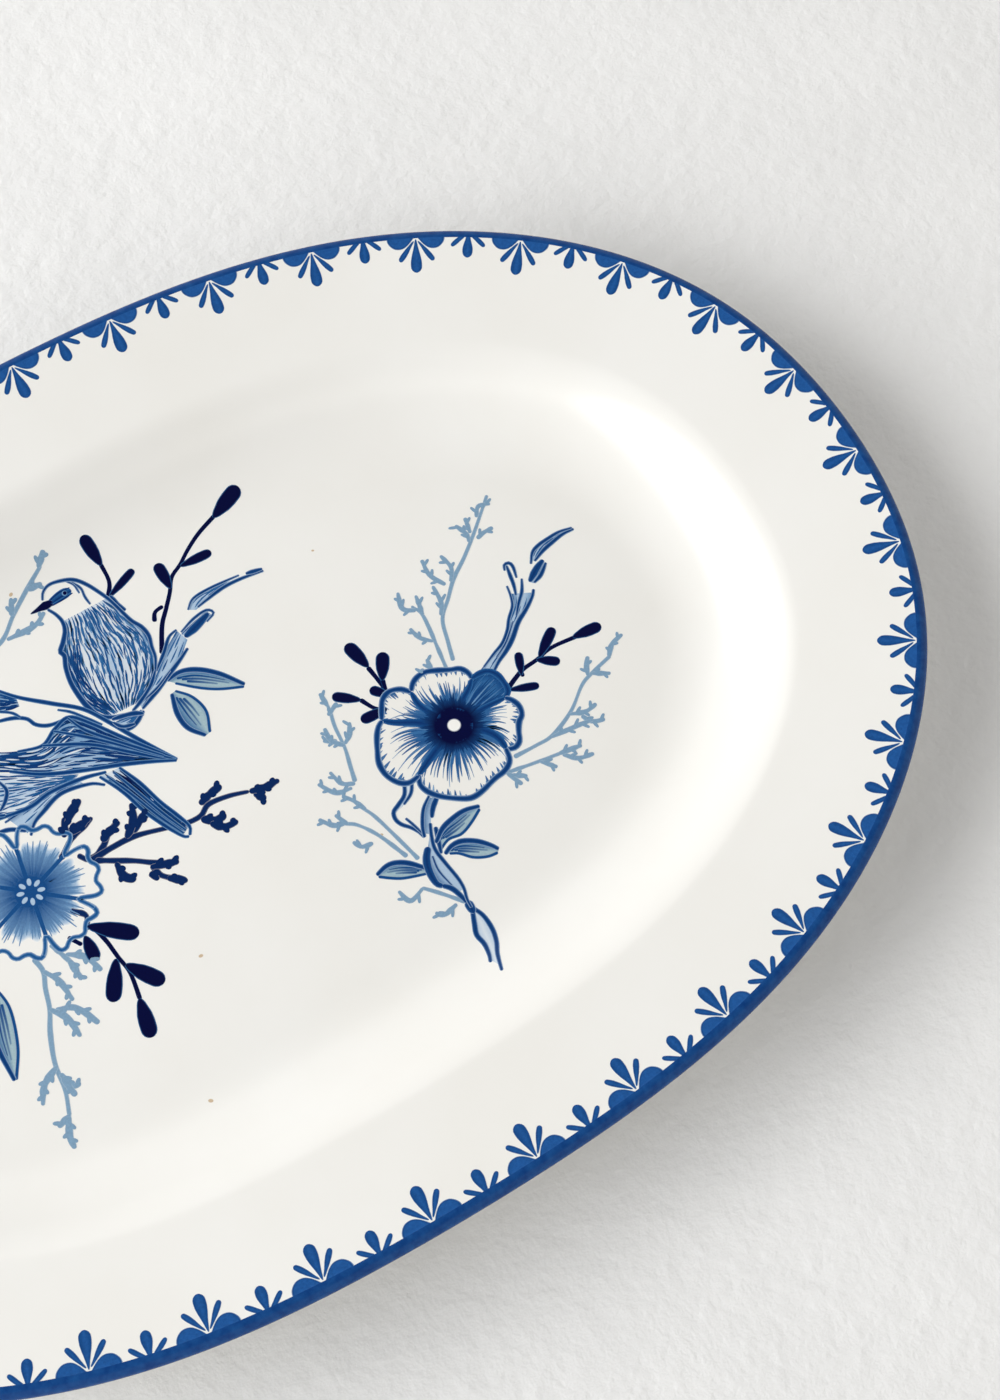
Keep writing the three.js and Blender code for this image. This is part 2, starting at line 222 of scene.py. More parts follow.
class Print:
    """Closed slabs of fired colour, drawn in millimetres on the plan and gathered into one mesh."""

    SINK = -0.08
    NUDGE, NUDGES = 0.0008, 13
    GOLDEN_STEP = 0.618034  # spreads strokes evenly across a space, in no visible order

    def __init__(self, seed=0):
        self.plan, self.lift, self.ink, self.faces = [], [], [], []
        self.random = np.random.default_rng(seed)
        self.laid = 0

    def _level(self, lift):
        """A lift nudged by under a hundredth of a millimetre, so that no two tops that cross are level."""
        self.laid += 1
        return float(lift) + self.NUDGE * (self.laid % self.NUDGES)

    def _add(self, plan, lift, ink):
        first = len(self.plan)
        self.plan.extend(plan)
        self.lift.extend(lift)
        self.ink.extend(ink)
        return first

    def slab(self, rows, inks, lift):
        """A slab whose top is a grid of rows of points, with a colour for each point."""
        count, width = rows.shape[:2]
        loop = width + 2
        plan = np.concatenate([rows[:, :1], rows, rows[:, -1:]], axis=1)
        colour = np.concatenate([inks[:, :1], inks, inks[:, -1:]], axis=1)
        height = np.full((count, loop), self._level(lift))
        height[:, [0, -1]] = self.SINK
        first = self._add(plan.reshape(-1, 2), height.ravel(), colour.reshape(-1, 3))
        for r in range(count - 1):
            a = first + r * loop
            for k in range(loop):
                m = (k + 1) % loop
                self.faces.append((a + k, a + m, a + loop + m, a + loop + k))
        self.faces.append(tuple(first + k for k in reversed(range(loop))))
        self.faces.append(tuple(first + (count - 1) * loop + k for k in range(loop)))

    def blade(self, points, widths, ink, ground, lift=0.03, fade=(1, 1), feather=0.12, core=None, step=0.7):
        """A stroke along a smooth path. Its widths and the strength of its ink are spread evenly along it."""
        length = max(path_length(smooth_path(points, 24)), 0.2)
        widths = np.asarray(widths, float)
        end = min(max(widths[0], widths[-1]) / 2, length / 3)
        turns = 1 - np.cos(np.linspace(0, math.pi / 2, 4))
        body = np.linspace(end, length - end, max(3, int((length - 2 * end) / step) + 2))
        reached = np.r_[end * turns[:-1], body, length - end * turns[-2::-1]]
        dense = smooth_path(points, 200)
        place = np.linspace(0, length, 200)
        path = np.c_[np.interp(reached, place, dense[:, 0]), np.interp(reached, place, dense[:, 1])]
        share = reached / length
        half = np.interp(share, np.linspace(0, 1, len(widths)), widths) / 2
        near = np.clip(np.minimum(reached, length - reached) / max(end, 1e-6), 0, 1)
        half = half * np.sqrt(np.clip(1 - (1 - near) ** 2, 0.02, 1))
        strength = np.interp(share, np.linspace(0, 1, len(fade)), fade)[:, None]
        colour = np.asarray(ground) * (1 - strength) + np.asarray(ink) * strength
        side = across(path)
        if feather:
            offsets = [half + feather / 2, np.maximum(half - feather / 2, 0.3 * half)]
            middle = colour if core is None else blend_colours(ground, core, strength)
            columns = [offsets[0], offsets[1], 0 * half, -offsets[1], -offsets[0]]
            pale = np.broadcast_to(np.asarray(ground, float), colour.shape)
            inks = np.stack([pale, colour, middle, colour, pale], axis=1)
        else:
            columns = [half, -half]
            inks = np.stack([colour, colour], axis=1)
        rows = np.stack([path + side * c[:, None] for c in columns], axis=1)
        self.slab(rows, inks, lift)

    def between(self, left, right, inks, lift=0.015, count=24, columns=7):
        """A wash between two edges that run the same way. The inks are spread evenly from left to right."""
        left, right = smooth_path(left, count), smooth_path(right, count)
        share = np.linspace(0, 1, columns)[None, :, None]
        rows = left[:, None] * (1 - share) + right[:, None] * share
        knots = np.linspace(0, 1, len(inks))
        inks = np.asarray(inks, float)
        line = np.stack([np.interp(share[0, :, 0], knots, inks[:, k]) for k in range(3)], axis=1)
        self.slab(rows, np.broadcast_to(line, (count, columns, 3)), lift)

    def fan(self, centre, rim, shares, inks, lift=0.02):
        """A wash round a centre out to a closed rim, with a colour at each share of the way out."""
        centre, rim = np.asarray(centre, float), np.asarray(rim, float)
        n = len(rim)
        plan = [centre]
        colour = [inks[0]]
        for share, ink in zip(shares, inks[1:]):
            plan.extend(centre + (rim - centre) * share)
            colour.extend([ink] * n)
        top = len(plan)
        plan.extend(rim)
        colour.extend([inks[-1]] * n)
        height = [self._level(lift)] * top + [self.SINK] * n
        first = self._add(plan, height, colour)
        for i in range(n):
            j = (i + 1) % n
            self.faces.append((first, first + 1 + i, first + 1 + j))
            for r in range(len(shares)):
                a = first + 1 + r * n
                self.faces.append((a + i, a + n + i, a + n + j, a + j))
        self.faces.append(tuple(first + top + i for i in reversed(range(n))))

    def dot(self, centre, radius, ink, ground, lift=0.04, stretch=1.0, turn=0.0, sides=14):
        """A round or oval spot."""
        angle = np.linspace(0, 2 * math.pi, sides + 1)[:-1]
        x, y = radius * stretch * np.cos(angle), radius * np.sin(angle)
        c, s = math.cos(turn), math.sin(turn)
        rim = np.asarray(centre) + np.c_[x * c - y * s, x * s + y * c]
        self.fan(centre, rim, (0.8, 1), (ink, ink, ground), lift)

    def hatch(self, left, right, strokes, length, widths, inks, ground, lift=0.03, drift=0.03, span=(0, 1)):
        """Many short strokes that run along the space between two edges."""
        left, right = smooth_path(left, 60), smooth_path(right, 60)
        total = path_length((left + right) / 2)
        place = np.linspace(0, 1, 60)
        for k in range(strokes):
            u = np.clip((self.GOLDEN_STEP * k + self.random.uniform(0, 0.05)) % 1, 0.02, 0.98)
            start = span[0] - 0.05 + (k + self.random.uniform(0, 1)) / strokes * (span[1] - span[0])
            reach = self.random.uniform(*length) / total
            v = np.clip(np.linspace(start, start + reach, 4), *span)
            if v[-1] - v[0] < 0.3 * reach:
                continue
            w = np.clip(u + np.linspace(0, self.random.normal(0, drift), 4), 0.01, 0.99)
            points = []
            for share, side in zip(v, w):
                a = [np.interp(share, place, left[:, k]) for k in (0, 1)]
                b = [np.interp(share, place, right[:, k]) for k in (0, 1)]
                points.append(np.asarray(a) * (1 - side) + np.asarray(b) * side)
            width = self.random.uniform(*widths)
            ink = blend_colours(inks[0], inks[1], self.random.uniform(0, 1))
            self.blade(
                points, (0.3 * width, width, 0.8 * width, 0.15 * width), ink, ground, lift, feather=0
            )

    def petal(self, centre, rim, strokes, reach, widths, inks, bow, lift=0.03):
        """Curved strokes from a flower's middle towards a petal's rim, with short ones back from the rim."""
        inner, edge = 4.6, 0.2  # where the strokes start, and how much further they run at its sides
        centre = np.asarray(centre, float)
        rim = smooth_path(rim, 80)
        place = np.linspace(0, 1, 80)
        for k in range(strokes):
            u = np.clip((k + 0.5 + self.random.uniform(-0.4, 0.4)) / strokes, 0.01, 0.99)
            end = np.array([np.interp(u, place, rim[:, c]) for c in (0, 1)])
            way = end - centre
            span = np.hypot(*way)
            root = centre + way * (inner / span)
            side = np.array((-way[1], way[0])) * np.interp(u, (0, 1), bow) * (1 - inner / span)
            out = self.random.uniform(*reach) + edge * abs(2 * u - 1) ** 2
            outwards = (0, min(out, 0.96), (1, 0.95, 0.75))
            back = (1, self.random.uniform(0.8, 0.93), (0.9, 0.6))
            for v0, v1, strength in (outwards, back):
                if v0 == 1 and self.random.uniform(0, 1) > 0.7:
                    continue
                v = np.linspace(v0, v1, 6)[:, None]
                points = root * (1 - v) + end * v + side * np.sin(math.pi * v)
                width = self.random.uniform(*widths)
                ink = blend_colours(inks[0], inks[1], self.random.uniform(0, 1))
                taper = (width, 0.85 * width, 0.2 * width)
                self.blade(points, taper, ink, inks[2], lift, strength, feather=0)

    def lines(self, strokes, profile, ink, ground, core, lift=0.045):
        """Blades along paths. A path's number is its width, and the profile is shares of that along it."""
        for points, width in strokes:
            self.blade(
                points, [share * width for share in profile], ink, ground, lift, core=core, feather=0.25
            )

    def mesh(self, name, oval, rolled=False):
        """The gathered slabs as one mesh on the glaze.

        Rolled out, a point's x and y are its distance and inset.
        """
        plan = np.asarray(self.plan, float)
        if rolled:
            places = np.c_[plan * MM, oval.glazed(plan[:, 1] * MM) + np.asarray(self.lift) * MM]
        else:
            places = oval.on_glaze(plan, self.lift)
        mesh = bpy.data.meshes.new(name)
        mesh.from_pydata(places.tolist(), [], self.faces)
        ink = mesh.color_attributes.new("ink", "FLOAT_COLOR", "POINT")
        rgba = np.c_[np.asarray(self.ink, float), np.ones(len(plan))]
        ink.data.foreach_set("color", rgba.astype(np.float32).ravel())
        mesh.validate()
        finish = bmesh.new()
        finish.from_mesh(mesh)
        bmesh.ops.triangulate(finish, faces=[f for f in finish.faces if len(f.verts) > 4])
        bmesh.ops.recalc_face_normals(finish, faces=finish.faces)
        finish.to_mesh(mesh)
        finish.free()
        return mesh


# ---- Geometry Nodes: what goes round the oval ----------------------------------------------------
def round_the_oval(tree, geometry, outline, material, weld):
    """Adds the nodes that take a rolled-out mesh round an outline, and returns the finished geometry.

    Rolled out, a point's x is its distance along the outline, its y the inset from it and its z the height.
    """
    place = add_node(tree, "GeometryNodeInputPosition")
    parts = add_node(tree, "ShaderNodeSeparateXYZ", {0: place.outputs[0]})
    info = add_node(tree, "GeometryNodeObjectInfo", {"Object": outline})
    girth = add_node(tree, "GeometryNodeCurveLength", {0: info.outputs["Geometry"]})
    wrapped = add_node(
        tree, "ShaderNodeMath", {0: parts.outputs["X"], 1: girth.outputs[0]}, operation="FLOORED_MODULO"
    )
    sample = add_node(
        tree,
        "GeometryNodeSampleCurve",
        {"Curves": info.outputs["Geometry"], "Length": wrapped.outputs[0]},
        mode="LENGTH",
    )
    outward = add_node(
        tree,
        "ShaderNodeVectorMath",
        {0: sample.outputs["Tangent"], 1: (0, 0, 1)},
        operation="CROSS_PRODUCT",
    )
    unit = add_node(tree, "ShaderNodeVectorMath", {0: outward.outputs[0]}, operation="NORMALIZE")
    inwards = add_node(tree, "ShaderNodeMath", {0: parts.outputs["Y"], 1: -1.0}, operation="MULTIPLY")
    shift = add_node(
        tree, "ShaderNodeVectorMath", {0: unit.outputs[0], "Scale": inwards.outputs[0]}, operation="SCALE"
    )
    height = add_node(tree, "ShaderNodeCombineXYZ", {"Z": parts.outputs["Z"]})
    level = add_node(
        tree, "ShaderNodeVectorMath", {0: sample.outputs["Position"], 1: shift.outputs[0]}, operation="ADD"
    )
    point = add_node(
        tree, "ShaderNodeVectorMath", {0: level.outputs[0], 1: height.outputs[0]}, operation="ADD"
    )
    wound = add_node(tree, "GeometryNodeSetPosition", {"Geometry": geometry, "Position": point.outputs[0]})
    merged = add_node(tree, "GeometryNodeMergeByDistance", {"Geometry": wound.outputs[0], "Distance": weld})
    real = add_node(tree, "GeometryNodeRealizeInstances", {0: merged.outputs[0]})
    faced = add_node(tree, "GeometryNodeSetMaterial", {"Geometry": real.outputs[0], "Material": material})
    return faced.outputs[0]


def new_tree(name, inputs):
    """An empty geometry tree with named inputs, as the tree, its input node and its output node."""
    tree = bpy.data.node_groups.new(name, "GeometryNodeTree")
    tree.is_modifier = True
    tree.interface.new_socket("Geometry", in_out="INPUT", socket_type="NodeSocketGeometry")
    for title, kind in inputs:
        tree.interface.new_socket(title, in_out="INPUT", socket_type=kind)
    tree.interface.new_socket("Geometry", in_out="OUTPUT", socket_type="NodeSocketGeometry")
    return tree, tree.nodes.new("NodeGroupInput"), tree.nodes.new("NodeGroupOutput")


def sweep_tree():
    """Winds a rolled-out section round the outline."""
    inputs = (("Outline", "NodeSocketObject"), ("Material", "NodeSocketMaterial"))
    tree, given, result = new_tree("Section round the oval", inputs)
    done = round_the_oval(
        tree, given.outputs["Geometry"], given.outputs["Outline"], given.outputs["Material"], 0.02 * MM
    )
    tree.links.new(done, result.inputs[0])
    return tree


def border_tree():
    """Repeats one unit of the border along the outline, at an even pitch."""
    inputs = (
        ("Outline", "NodeSocketObject"),
        ("Repeats", "NodeSocketInt"),
        ("Pitch", "NodeSocketFloat"),
        ("Start", "NodeSocketFloat"),
        ("Material", "NodeSocketMaterial"),
    )
    tree, given, result = new_tree("Border round the oval", inputs)
    pitch = add_node(tree, "ShaderNodeCombineXYZ", {"X": given.outputs["Pitch"]})
    start = add_node(tree, "ShaderNodeCombineXYZ", {"X": given.outputs["Start"]})
    line = add_node(
        tree,
        "GeometryNodeMeshLine",
        {
            "Count": given.outputs["Repeats"],
            "Start Location": start.outputs[0],
            "Offset": pitch.outputs[0],
        },
    )
    copies = add_node(
        tree,
        "GeometryNodeInstanceOnPoints",
        {"Points": line.outputs[0], "Instance": given.outputs["Geometry"]},
    )
    real = add_node(tree, "GeometryNodeRealizeInstances", {0: copies.outputs[0]})
    done = round_the_oval(tree, real.outputs[0], given.outputs["Outline"], given.outputs["Material"], 0.0)
    tree.links.new(done, result.inputs[0])
    return tree


def outline_curve(oval):
    """The platter's outline as a closed curve object."""
    curve = bpy.data.curves.new("outline", "CURVE")
    curve.dimensions = "3D"
    spline = curve.splines.new("POLY")
    spline.points.add(len(oval.points) - 1)
    spline.points.foreach_set(
        "co", np.c_[oval.points, np.zeros(len(oval.points)), np.ones(len(oval.points))].ravel()
    )
    spline.use_cyclic_u = True
    helper = bpy.data.objects.new("outline", curve)
    bpy.context.scene.collection.objects.link(helper)
    return helper


def run_tree(name, mesh, tree, oval, values):
    """Runs a tree on a rolled-out mesh and returns the result as a plain mesh."""
    rolled = link_mesh(name + "_rolled", mesh)
    outline = outline_curve(oval)
    modifier = rolled.modifiers.new("Round the oval", "NODES")
    modifier.node_group = tree
    sockets = {item.name: item.identifier for item in tree.interface.items_tree if item.in_out == "INPUT"}
    for title, value in {**values, "Outline": outline}.items():
        modifier[sockets[title]] = value
    graph = bpy.context.evaluated_depsgraph_get()
    graph.update()
    result = bpy.data.meshes.new_from_object(rolled.evaluated_get(graph), depsgraph=graph)
    rolled.modifiers.remove(modifier)
    bpy.data.objects.remove(rolled)
    bpy.data.objects.remove(outline)
    result.name = name
    return result


def swept_piece(name, section, oval, material, closed, steps=600):
    """A closed solid swept round the oval from its section, as points of inset and height.

    A section that isn't closed starts and ends over the flat of the well, and is filled in flat there.
    """
    rows = len(section)
    distance = np.repeat(np.linspace(0, oval.girth, steps + 1), rows)
    places = np.c_[distance, np.tile(np.asarray(section, float), (steps + 1, 1))]
    faces = []
    for i in range(steps):
        for r in range(rows if closed else rows - 1):
            a, b = i * rows + r, i * rows + (r + 1) % rows
            faces.append((a, b, b + rows, a + rows))
    mesh = bpy.data.meshes.new(name)
    mesh.from_pydata(places.tolist(), [], faces)
    mesh = run_tree(name, mesh, sweep_tree(), oval, {"Material": material})
    finish = bmesh.new()
    finish.from_mesh(mesh)
    rims = [edge for edge in finish.edges if edge.is_boundary]
    for level in {round(edge.verts[0].co.z, 6) for edge in rims}:
        middle = finish.verts.new((0, 0, level))
        for edge in rims:
            if abs(edge.verts[0].co.z - level) < 1e-6:
                finish.faces.new((*edge.verts, middle))
    bmesh.ops.recalc_face_normals(finish, faces=finish.faces)
    finish.to_mesh(mesh)
    finish.free()
    mesh.polygons.foreach_set("use_smooth", np.ones(len(mesh.polygons), bool))
    mesh.set_sharp_from_angle(angle=math.radians(35))
    return link_mesh(name, mesh)


def place_piece(piece, slot, *nodes):
    """Puts a finished piece on the body that it rides on and hides the CAD nodes that it stands for. The
    slot, the finish that it takes, is not used.
    """
    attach(piece, BODY)
    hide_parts(*nodes)
    return piece


# ---- Section curves ------------------------------------------------------------------------------
def arc(centre, radius, start, end, steps):
    """Points of an arc in a section, from one angle to another in degrees."""
    turn = np.radians(np.linspace(start, end, steps))
    return np.c_[centre[0] + radius * np.cos(turn), centre[1] + radius * np.sin(turn)]


def rounded(points, radius, steps=5):
    """A section's corners, each eased into a short curve. The ends stay where they are."""
    points = np.asarray(points, float)
    result = [points[0]]
    t = np.linspace(0, 1, steps)[:, None]
    for before, corner, after in zip(points, points[1:], points[2:]):
        into, out = before - corner, after - corner
        a = corner + into * min(radius / np.hypot(*into), 0.45)
        b = corner + out * min(radius / np.hypot(*out), 0.45)
        result.extend((1 - t) ** 2 * a + 2 * t * (1 - t) * corner + t**2 * b)
    result.append(points[-1])
    return np.asarray(result)


class Section:
    """The section curves that the china and its glaze share, as points of inset and height."""

    TOP, OUTSIDE, BOTTOM = 75, 180, 262  # directions round the lip, in degrees: face, outermost and back

    def __init__(self, oval):
        self.oval = oval
        self.sizes = s = oval.sizes
        inset = s.glaze + s.wall / 2
        self.lip = (inset, float(oval.face(inset)) - s.wall / 2)
        self.floor_rim = s.flange_width + s.cavetto_width + 3 * MM
        shoulder, end = s.flange_width, s.flange_width + s.cavetto_width
        self.insets = np.r_[
            np.linspace(inset + 0.7 * MM, shoulder - s.shoulder, 9),
            np.linspace(shoulder - s.shoulder, shoulder + s.shoulder, 17)[1:],
            np.linspace(shoulder + s.shoulder, end, 31)[1:],
            self.floor_rim,
        ]
        nudge = 0.1 * MM
        self.slope = (oval.face(self.insets - nudge) - oval.face(self.insets + nudge)) / (2 * nudge)

    def face(self, growth):
        """The face from the well out to the lip's outermost point, grown out from the china by a distance."""
        flat = np.c_[self.insets, self.oval.face(self.insets) + growth * np.hypot(1, self.slope)]
        return np.r_[flat[::-1], self.around_lip(growth, self.TOP, self.OUTSIDE, 12)]

    def back(self, growth, stop):
        """The back from the lip's outermost point in to a stop, grown out from the china by a distance."""
        depth = self.sizes.wall + growth
        long = np.hypot(1, self.slope)
        flat = np.c_[self.insets - depth * self.slope / long, self.oval.face(self.insets) - depth / long]
        round_lip = self.around_lip(growth, self.OUTSIDE, self.BOTTOM, 11)
        flat = flat[(flat[:, 0] > round_lip[-1, 0] + 0.3 * MM) & (flat[:, 0] < stop - 0.3 * MM)]
        level = np.interp(stop, flat[:, 0], flat[:, 1])
        return np.r_[round_lip, flat, [(stop, level)]]

    def around_lip(self, growth, start, end, steps):
        """The lip from one direction to another, grown out from the china by a distance."""
        return arc(self.lip, self.sizes.wall / 2 + growth, start, end, steps)


# ---- Materials -----------------------------------------------------------------------------------
GLAZE_WHITE = linear("#f5f4f0")
BISCUIT = linear("#e6e1d6")
SPECK = linear("#cdb79a")
GLAZE_IOR = 1.52


def new_material(name):
    """A material with its Principled shader, as the material, its tree and the shader."""
    material = bpy.data.materials.new(name)
    material.use_nodes = True
    tree = material.node_tree
    shader = next(node for node in tree.nodes if node.type == "BSDF_PRINCIPLED")
    return material, tree, shader


def noise(tree, size, detail=2.0, roughness=0.5):
    """Noise on the object's own coordinates, with blotches about a given size across."""
    place = add_node(tree, "ShaderNodeTexCoord")
    return add_node(
        tree,
        "ShaderNodeTexNoise",
        {"Vector": place.outputs["Object"], "Scale": 1 / size, "Detail": detail, "Roughness": roughness},
    )


def remap(tree, value, low, high, start=0.3, end=0.7):
    """A noise's middle range stretched to run between two values."""
    return add_node(
        tree,
        "ShaderNodeMapRange",
        {"Value": value, "From Min": start, "From Max": end, "To Min": low, "To Max": high},
    ).outputs[0]


def bump(tree, shader, height, distance):
    """Adds a relief of a real depth to a shader."""
    relief = add_node(tree, "ShaderNodeBump", {"Height": height, "Distance": distance, "Strength": 1.0})
    tree.links.new(relief.outputs["Normal"], shader.inputs["Normal"])


def two_tone(tree, shader, share, first, second):
    """Colours a shader by a share of the way between two colours."""
    mix = add_node(tree, "ShaderNodeMix", {0: share, 6: (*first, 1), 7: (*second, 1)}, data_type="RGBA")
    tree.links.new(mix.outputs[2], shader.inputs["Base Color"])


def fired_gloss(tree, shader, shine=0.5):
    """The gloss of a fired glaze, with the faint waves and orange peel that it settles with."""
    shader.inputs["IOR"].default_value = GLAZE_IOR
    shader.inputs["Specular IOR Level"].default_value = shine
    waves = noise(tree, 22 * MM, 1.0)
    peel = noise(tree, 1.6 * MM, 1.0)
    both = add_node(
        tree, "ShaderNodeMath", {0: peel.outputs[0], 1: 0.02, 2: waves.outputs[0]}, operation="MULTIPLY_ADD"
    )
    bump(tree, shader, both.outputs[0], 0.02 * MM)
    gloss = noise(tree, 9 * MM, 3.0)
    tree.links.new(remap(tree, gloss.outputs[0], 0.09, 0.14), shader.inputs["Roughness"])


def glazed_porcelain():
    """Clear feldspathic glaze over hard porcelain: a deep, wet gloss on a white that leans to ivory."""
    material, tree, shader = new_material("glazed_porcelain")
    cloud = noise(tree, 35 * MM, 4.0)
    share = remap(tree, cloud.outputs[0], 0.0, 1.0)
    two_tone(tree, shader, share, GLAZE_WHITE, blend_colours(GLAZE_WHITE, linear("#f0eee8"), 0.6))
    fired_gloss(tree, shader, 0.72)
    return material


def biscuit_porcelain():
    """Unglazed fired porcelain: a dry, chalky grain where the foot ring stands bare, greyed by use."""
    material, tree, shader = new_material("biscuit_porcelain")
    grain = noise(tree, 0.5 * MM, 6.0, 0.7)
    wear = noise(tree, 7 * MM, 3.0)
    share = remap(tree, wear.outputs[0], 0.0, 0.7, 0.45, 0.75)
    two_tone(tree, shader, share, BISCUIT, linear("#c9c2b4"))
    tree.links.new(remap(tree, grain.outputs[0], 0.6, 0.85), shader.inputs["Roughness"])
    bump(tree, shader, grain.outputs[0], 0.03 * MM)
    return material


def fired_print(name, grain, depth):
    """Cobalt colour fired into the glaze: the ink lies a little uneven, darker where the screen left more."""
    material, tree, shader = new_material(name)
    ink = add_node(tree, "ShaderNodeVertexColor", layer_name="ink")
    mottle = noise(tree, grain, 3.0, 0.6)
    paleness = add_node(tree, "ShaderNodeRGBToBW", {"Color": ink.outputs["Color"]})
    shade = add_node(
        tree,
        "ShaderNodeHueSaturation",
        {
            "Color": ink.outputs["Color"],
            "Value": remap(tree, mottle.outputs[0], 1 - depth, 1 + depth),
            "Fac": remap(tree, paleness.outputs[0], 1.0, 0.0, 0.3, 0.8),
        },
    )
    tree.links.new(shade.outputs[0], shader.inputs["Base Color"])
    fired_gloss(tree, shader, 0.25)
    return material


def cobalt_banding():
    """A painted band of cobalt at the lip, a little uneven in depth where the brush left more."""
    material, tree, shader = new_material("cobalt_banding")
    pooling = noise(tree, 2.5 * MM, 4.0, 0.6)
    share = remap(tree, pooling.outputs[0], 0.0, 1.0)
    two_tone(tree, shader, share, linear("#0f3a78"), linear("#1d4f8c"))
    fired_gloss(tree, shader, 0.12)
    return material


def painted_plaster():
    """A matt, pale wall paint with its roller stipple, for the surface under the platter."""
    material, tree, shader = new_material("painted_plaster")
    stipple = noise(tree, 2.2 * MM, 6.0, 0.6)
    swell = noise(tree, 60 * MM, 2.0)
    share = remap(tree, swell.outputs[0], 0.0, 1.0)
    two_tone(tree, shader, share, linear("#eeeeed"), linear("#f4f4f3"))
    shader.inputs["Roughness"].default_value = 0.85
    dabs = noise(tree, 6 * MM, 3.0)
    relief = add_node(
        tree,
        "ShaderNodeMath",
        {0: stipple.outputs[0], 1: 0.45, 2: dabs.outputs[0]},
        operation="MULTIPLY_ADD",
    )
    bump(tree, shader, relief.outputs[0], 0.6 * MM)
    return material


def kiln_speck():
    """A grain of iron that burnt out of the clay and tints the glaze over it tan."""
    material, tree, shader = new_material("kiln_speck")
    ink = add_node(tree, "ShaderNodeVertexColor", layer_name="ink")
    tree.links.new(ink.outputs["Color"], shader.inputs["Base Color"])
    fired_gloss(tree, shader)
    return material


MADE = {}


def shared(make, *arguments):
    """A material that several pieces wear, made once."""
    key = (make.__name__, *arguments)
    if key not in MADE:
        MADE[key] = make(*arguments)
    return MADE[key]


def spray_ink():
    """The screen-printed colour of the sprays."""
    return shared(fired_print, "cobalt_transfer", 0.5 * MM, 0.1)


# ---- Drawing the border --------------------------------------------------------------------------
def draw_border_unit(pitch, ink):
    """One repeat of the border: a pair of lobes under a large sprig, and a small sprig half a repeat on.

    Distances run along the edge from the large sprig's middle, and depths run in from the edge.
    """
    unit = Print(3)
    middle = pitch / 2

    def leaf(points, widths):
        unit.blade(points, widths, ink.border_edge, ink.halo, core=ink.border)

    lobe = [(0.4, 2.4), (0.7, 3.0), (1.4, 3.9), (2.3, 4.8), (3.4, 5.5), (4.6, 5.7), (5.9, 5.4), (7.0, 4.4)]
    lobe += [(7.5, 3.3), (7.2, 2.3), (4, 2.2)]
    for side in (-1, 1):
        rim = smooth_path([(side * u, v) for u, v in lobe], 40, closed=True)
        inks = (*[ink.border] * 5, ink.border_edge, ink.halo)
        unit.fan((side * 4.1, 3.5), rim, (0.2, 0.4, 0.6, 0.78, 0.93, 1), inks, lift=0.03)
        long_petal = [(side * 0.55, 3.6), (side * 1.7, 5.1), (side * 3.1, 7.0), (side * 4.6, 8.9)]
        leaf(long_petal, (0.3, 0.7, 1.2, 1.45, 1.1))
        short_petal = [(1.1, 2.2), (2.2, 3.2), (3.3, 4.2), (4.4, 5.2)]
        leaf([(middle + side * u, v) for u, v in short_petal], (1.1, 1.1, 1.25, 0.9))
    leaf([(0, 3.1), (0.1, 7.1), (0.25, 12.1)], (0.4, 0.8, 1.5, 2.3, 2.9, 3.0, 2.3))
    leaf([(middle, 2.2), (middle + 0.05, 5.1), (middle + 0.1, 8.3)], (1.0, 1.3, 2.1, 2.7, 2.6, 1.9))
    return unit


# ---- Drawing the sprays --------------------------------------------------------------------------
def draw_buds(ink, stems, buds):
    """Solid navy buds on thin stems. A bud runs from its base to its tip, at a width."""
    drawing = Print(5)
    for points in stems:
        drawing.blade(points, (1.15, 0.95, 0.85, 1.0), ink.navy, ink.outline, core=ink.navy, feather=0.15)
    for base, tip, width in buds:
        swell = np.array((0.3, 0.6, 0.9, 1, 0.98, 0.75)) * 0.86 * width
        drawing.blade(
            [base, tip], swell, ink.navy, ink.mid, lift=0.04, core=ink.navy, feather=0.3, step=0.5
        )
    return drawing


def draw_twigs(ink, colour, stems, shoots, stem_width=0.8, shoot_width=1.0):
    """Thin twigs with short, ragged shoots whose barbs fork forwards."""
    drawing = Print(6)
    barb = 1.3
    soft = blend_colours(ink.ground, colour, 0.75)
    for points in stems:
        widths = stem_width * drawing.random.uniform(0.75, 1.2, 9) * np.linspace(1.15, 0.8, 9)
        drawing.blade(points, widths, colour, soft, feather=0.25, step=0.6)
    for points in shoots:
        knobs = np.interp(np.linspace(0, 1, 7), (0, 0.3, 0.75, 1), (0.7, 1.1, 1.0, 0.7))
        widths = shoot_width * knobs * drawing.random.uniform(0.75, 1.25, 7)
        drawing.blade(points, widths, colour, soft, lift=0.035, feather=0.2, step=0.5)
        reach = path_length(points)
        path = smooth_path(points, 24)
        along, side = np.gradient(path, axis=0), across(path)
        along /= np.hypot(*along.T)[:, None]
        turn = 1
        for share in np.arange(0.25, 0.9, 1.9 / max(reach, 1.9)):
            at = int(23 * share)
            size = barb * drawing.random.uniform(0.9, 1.3)
            end = path[at] + size * (along[at] * drawing.random.uniform(0.7, 1.1) + turn * side[at])
            widths = np.array((0.7, 0.85, 0.6)) * shoot_width
            drawing.blade([path[at], end], widths, colour, colour, lift=0.05, feather=0, step=0.4)
            turn = -turn
    return drawing


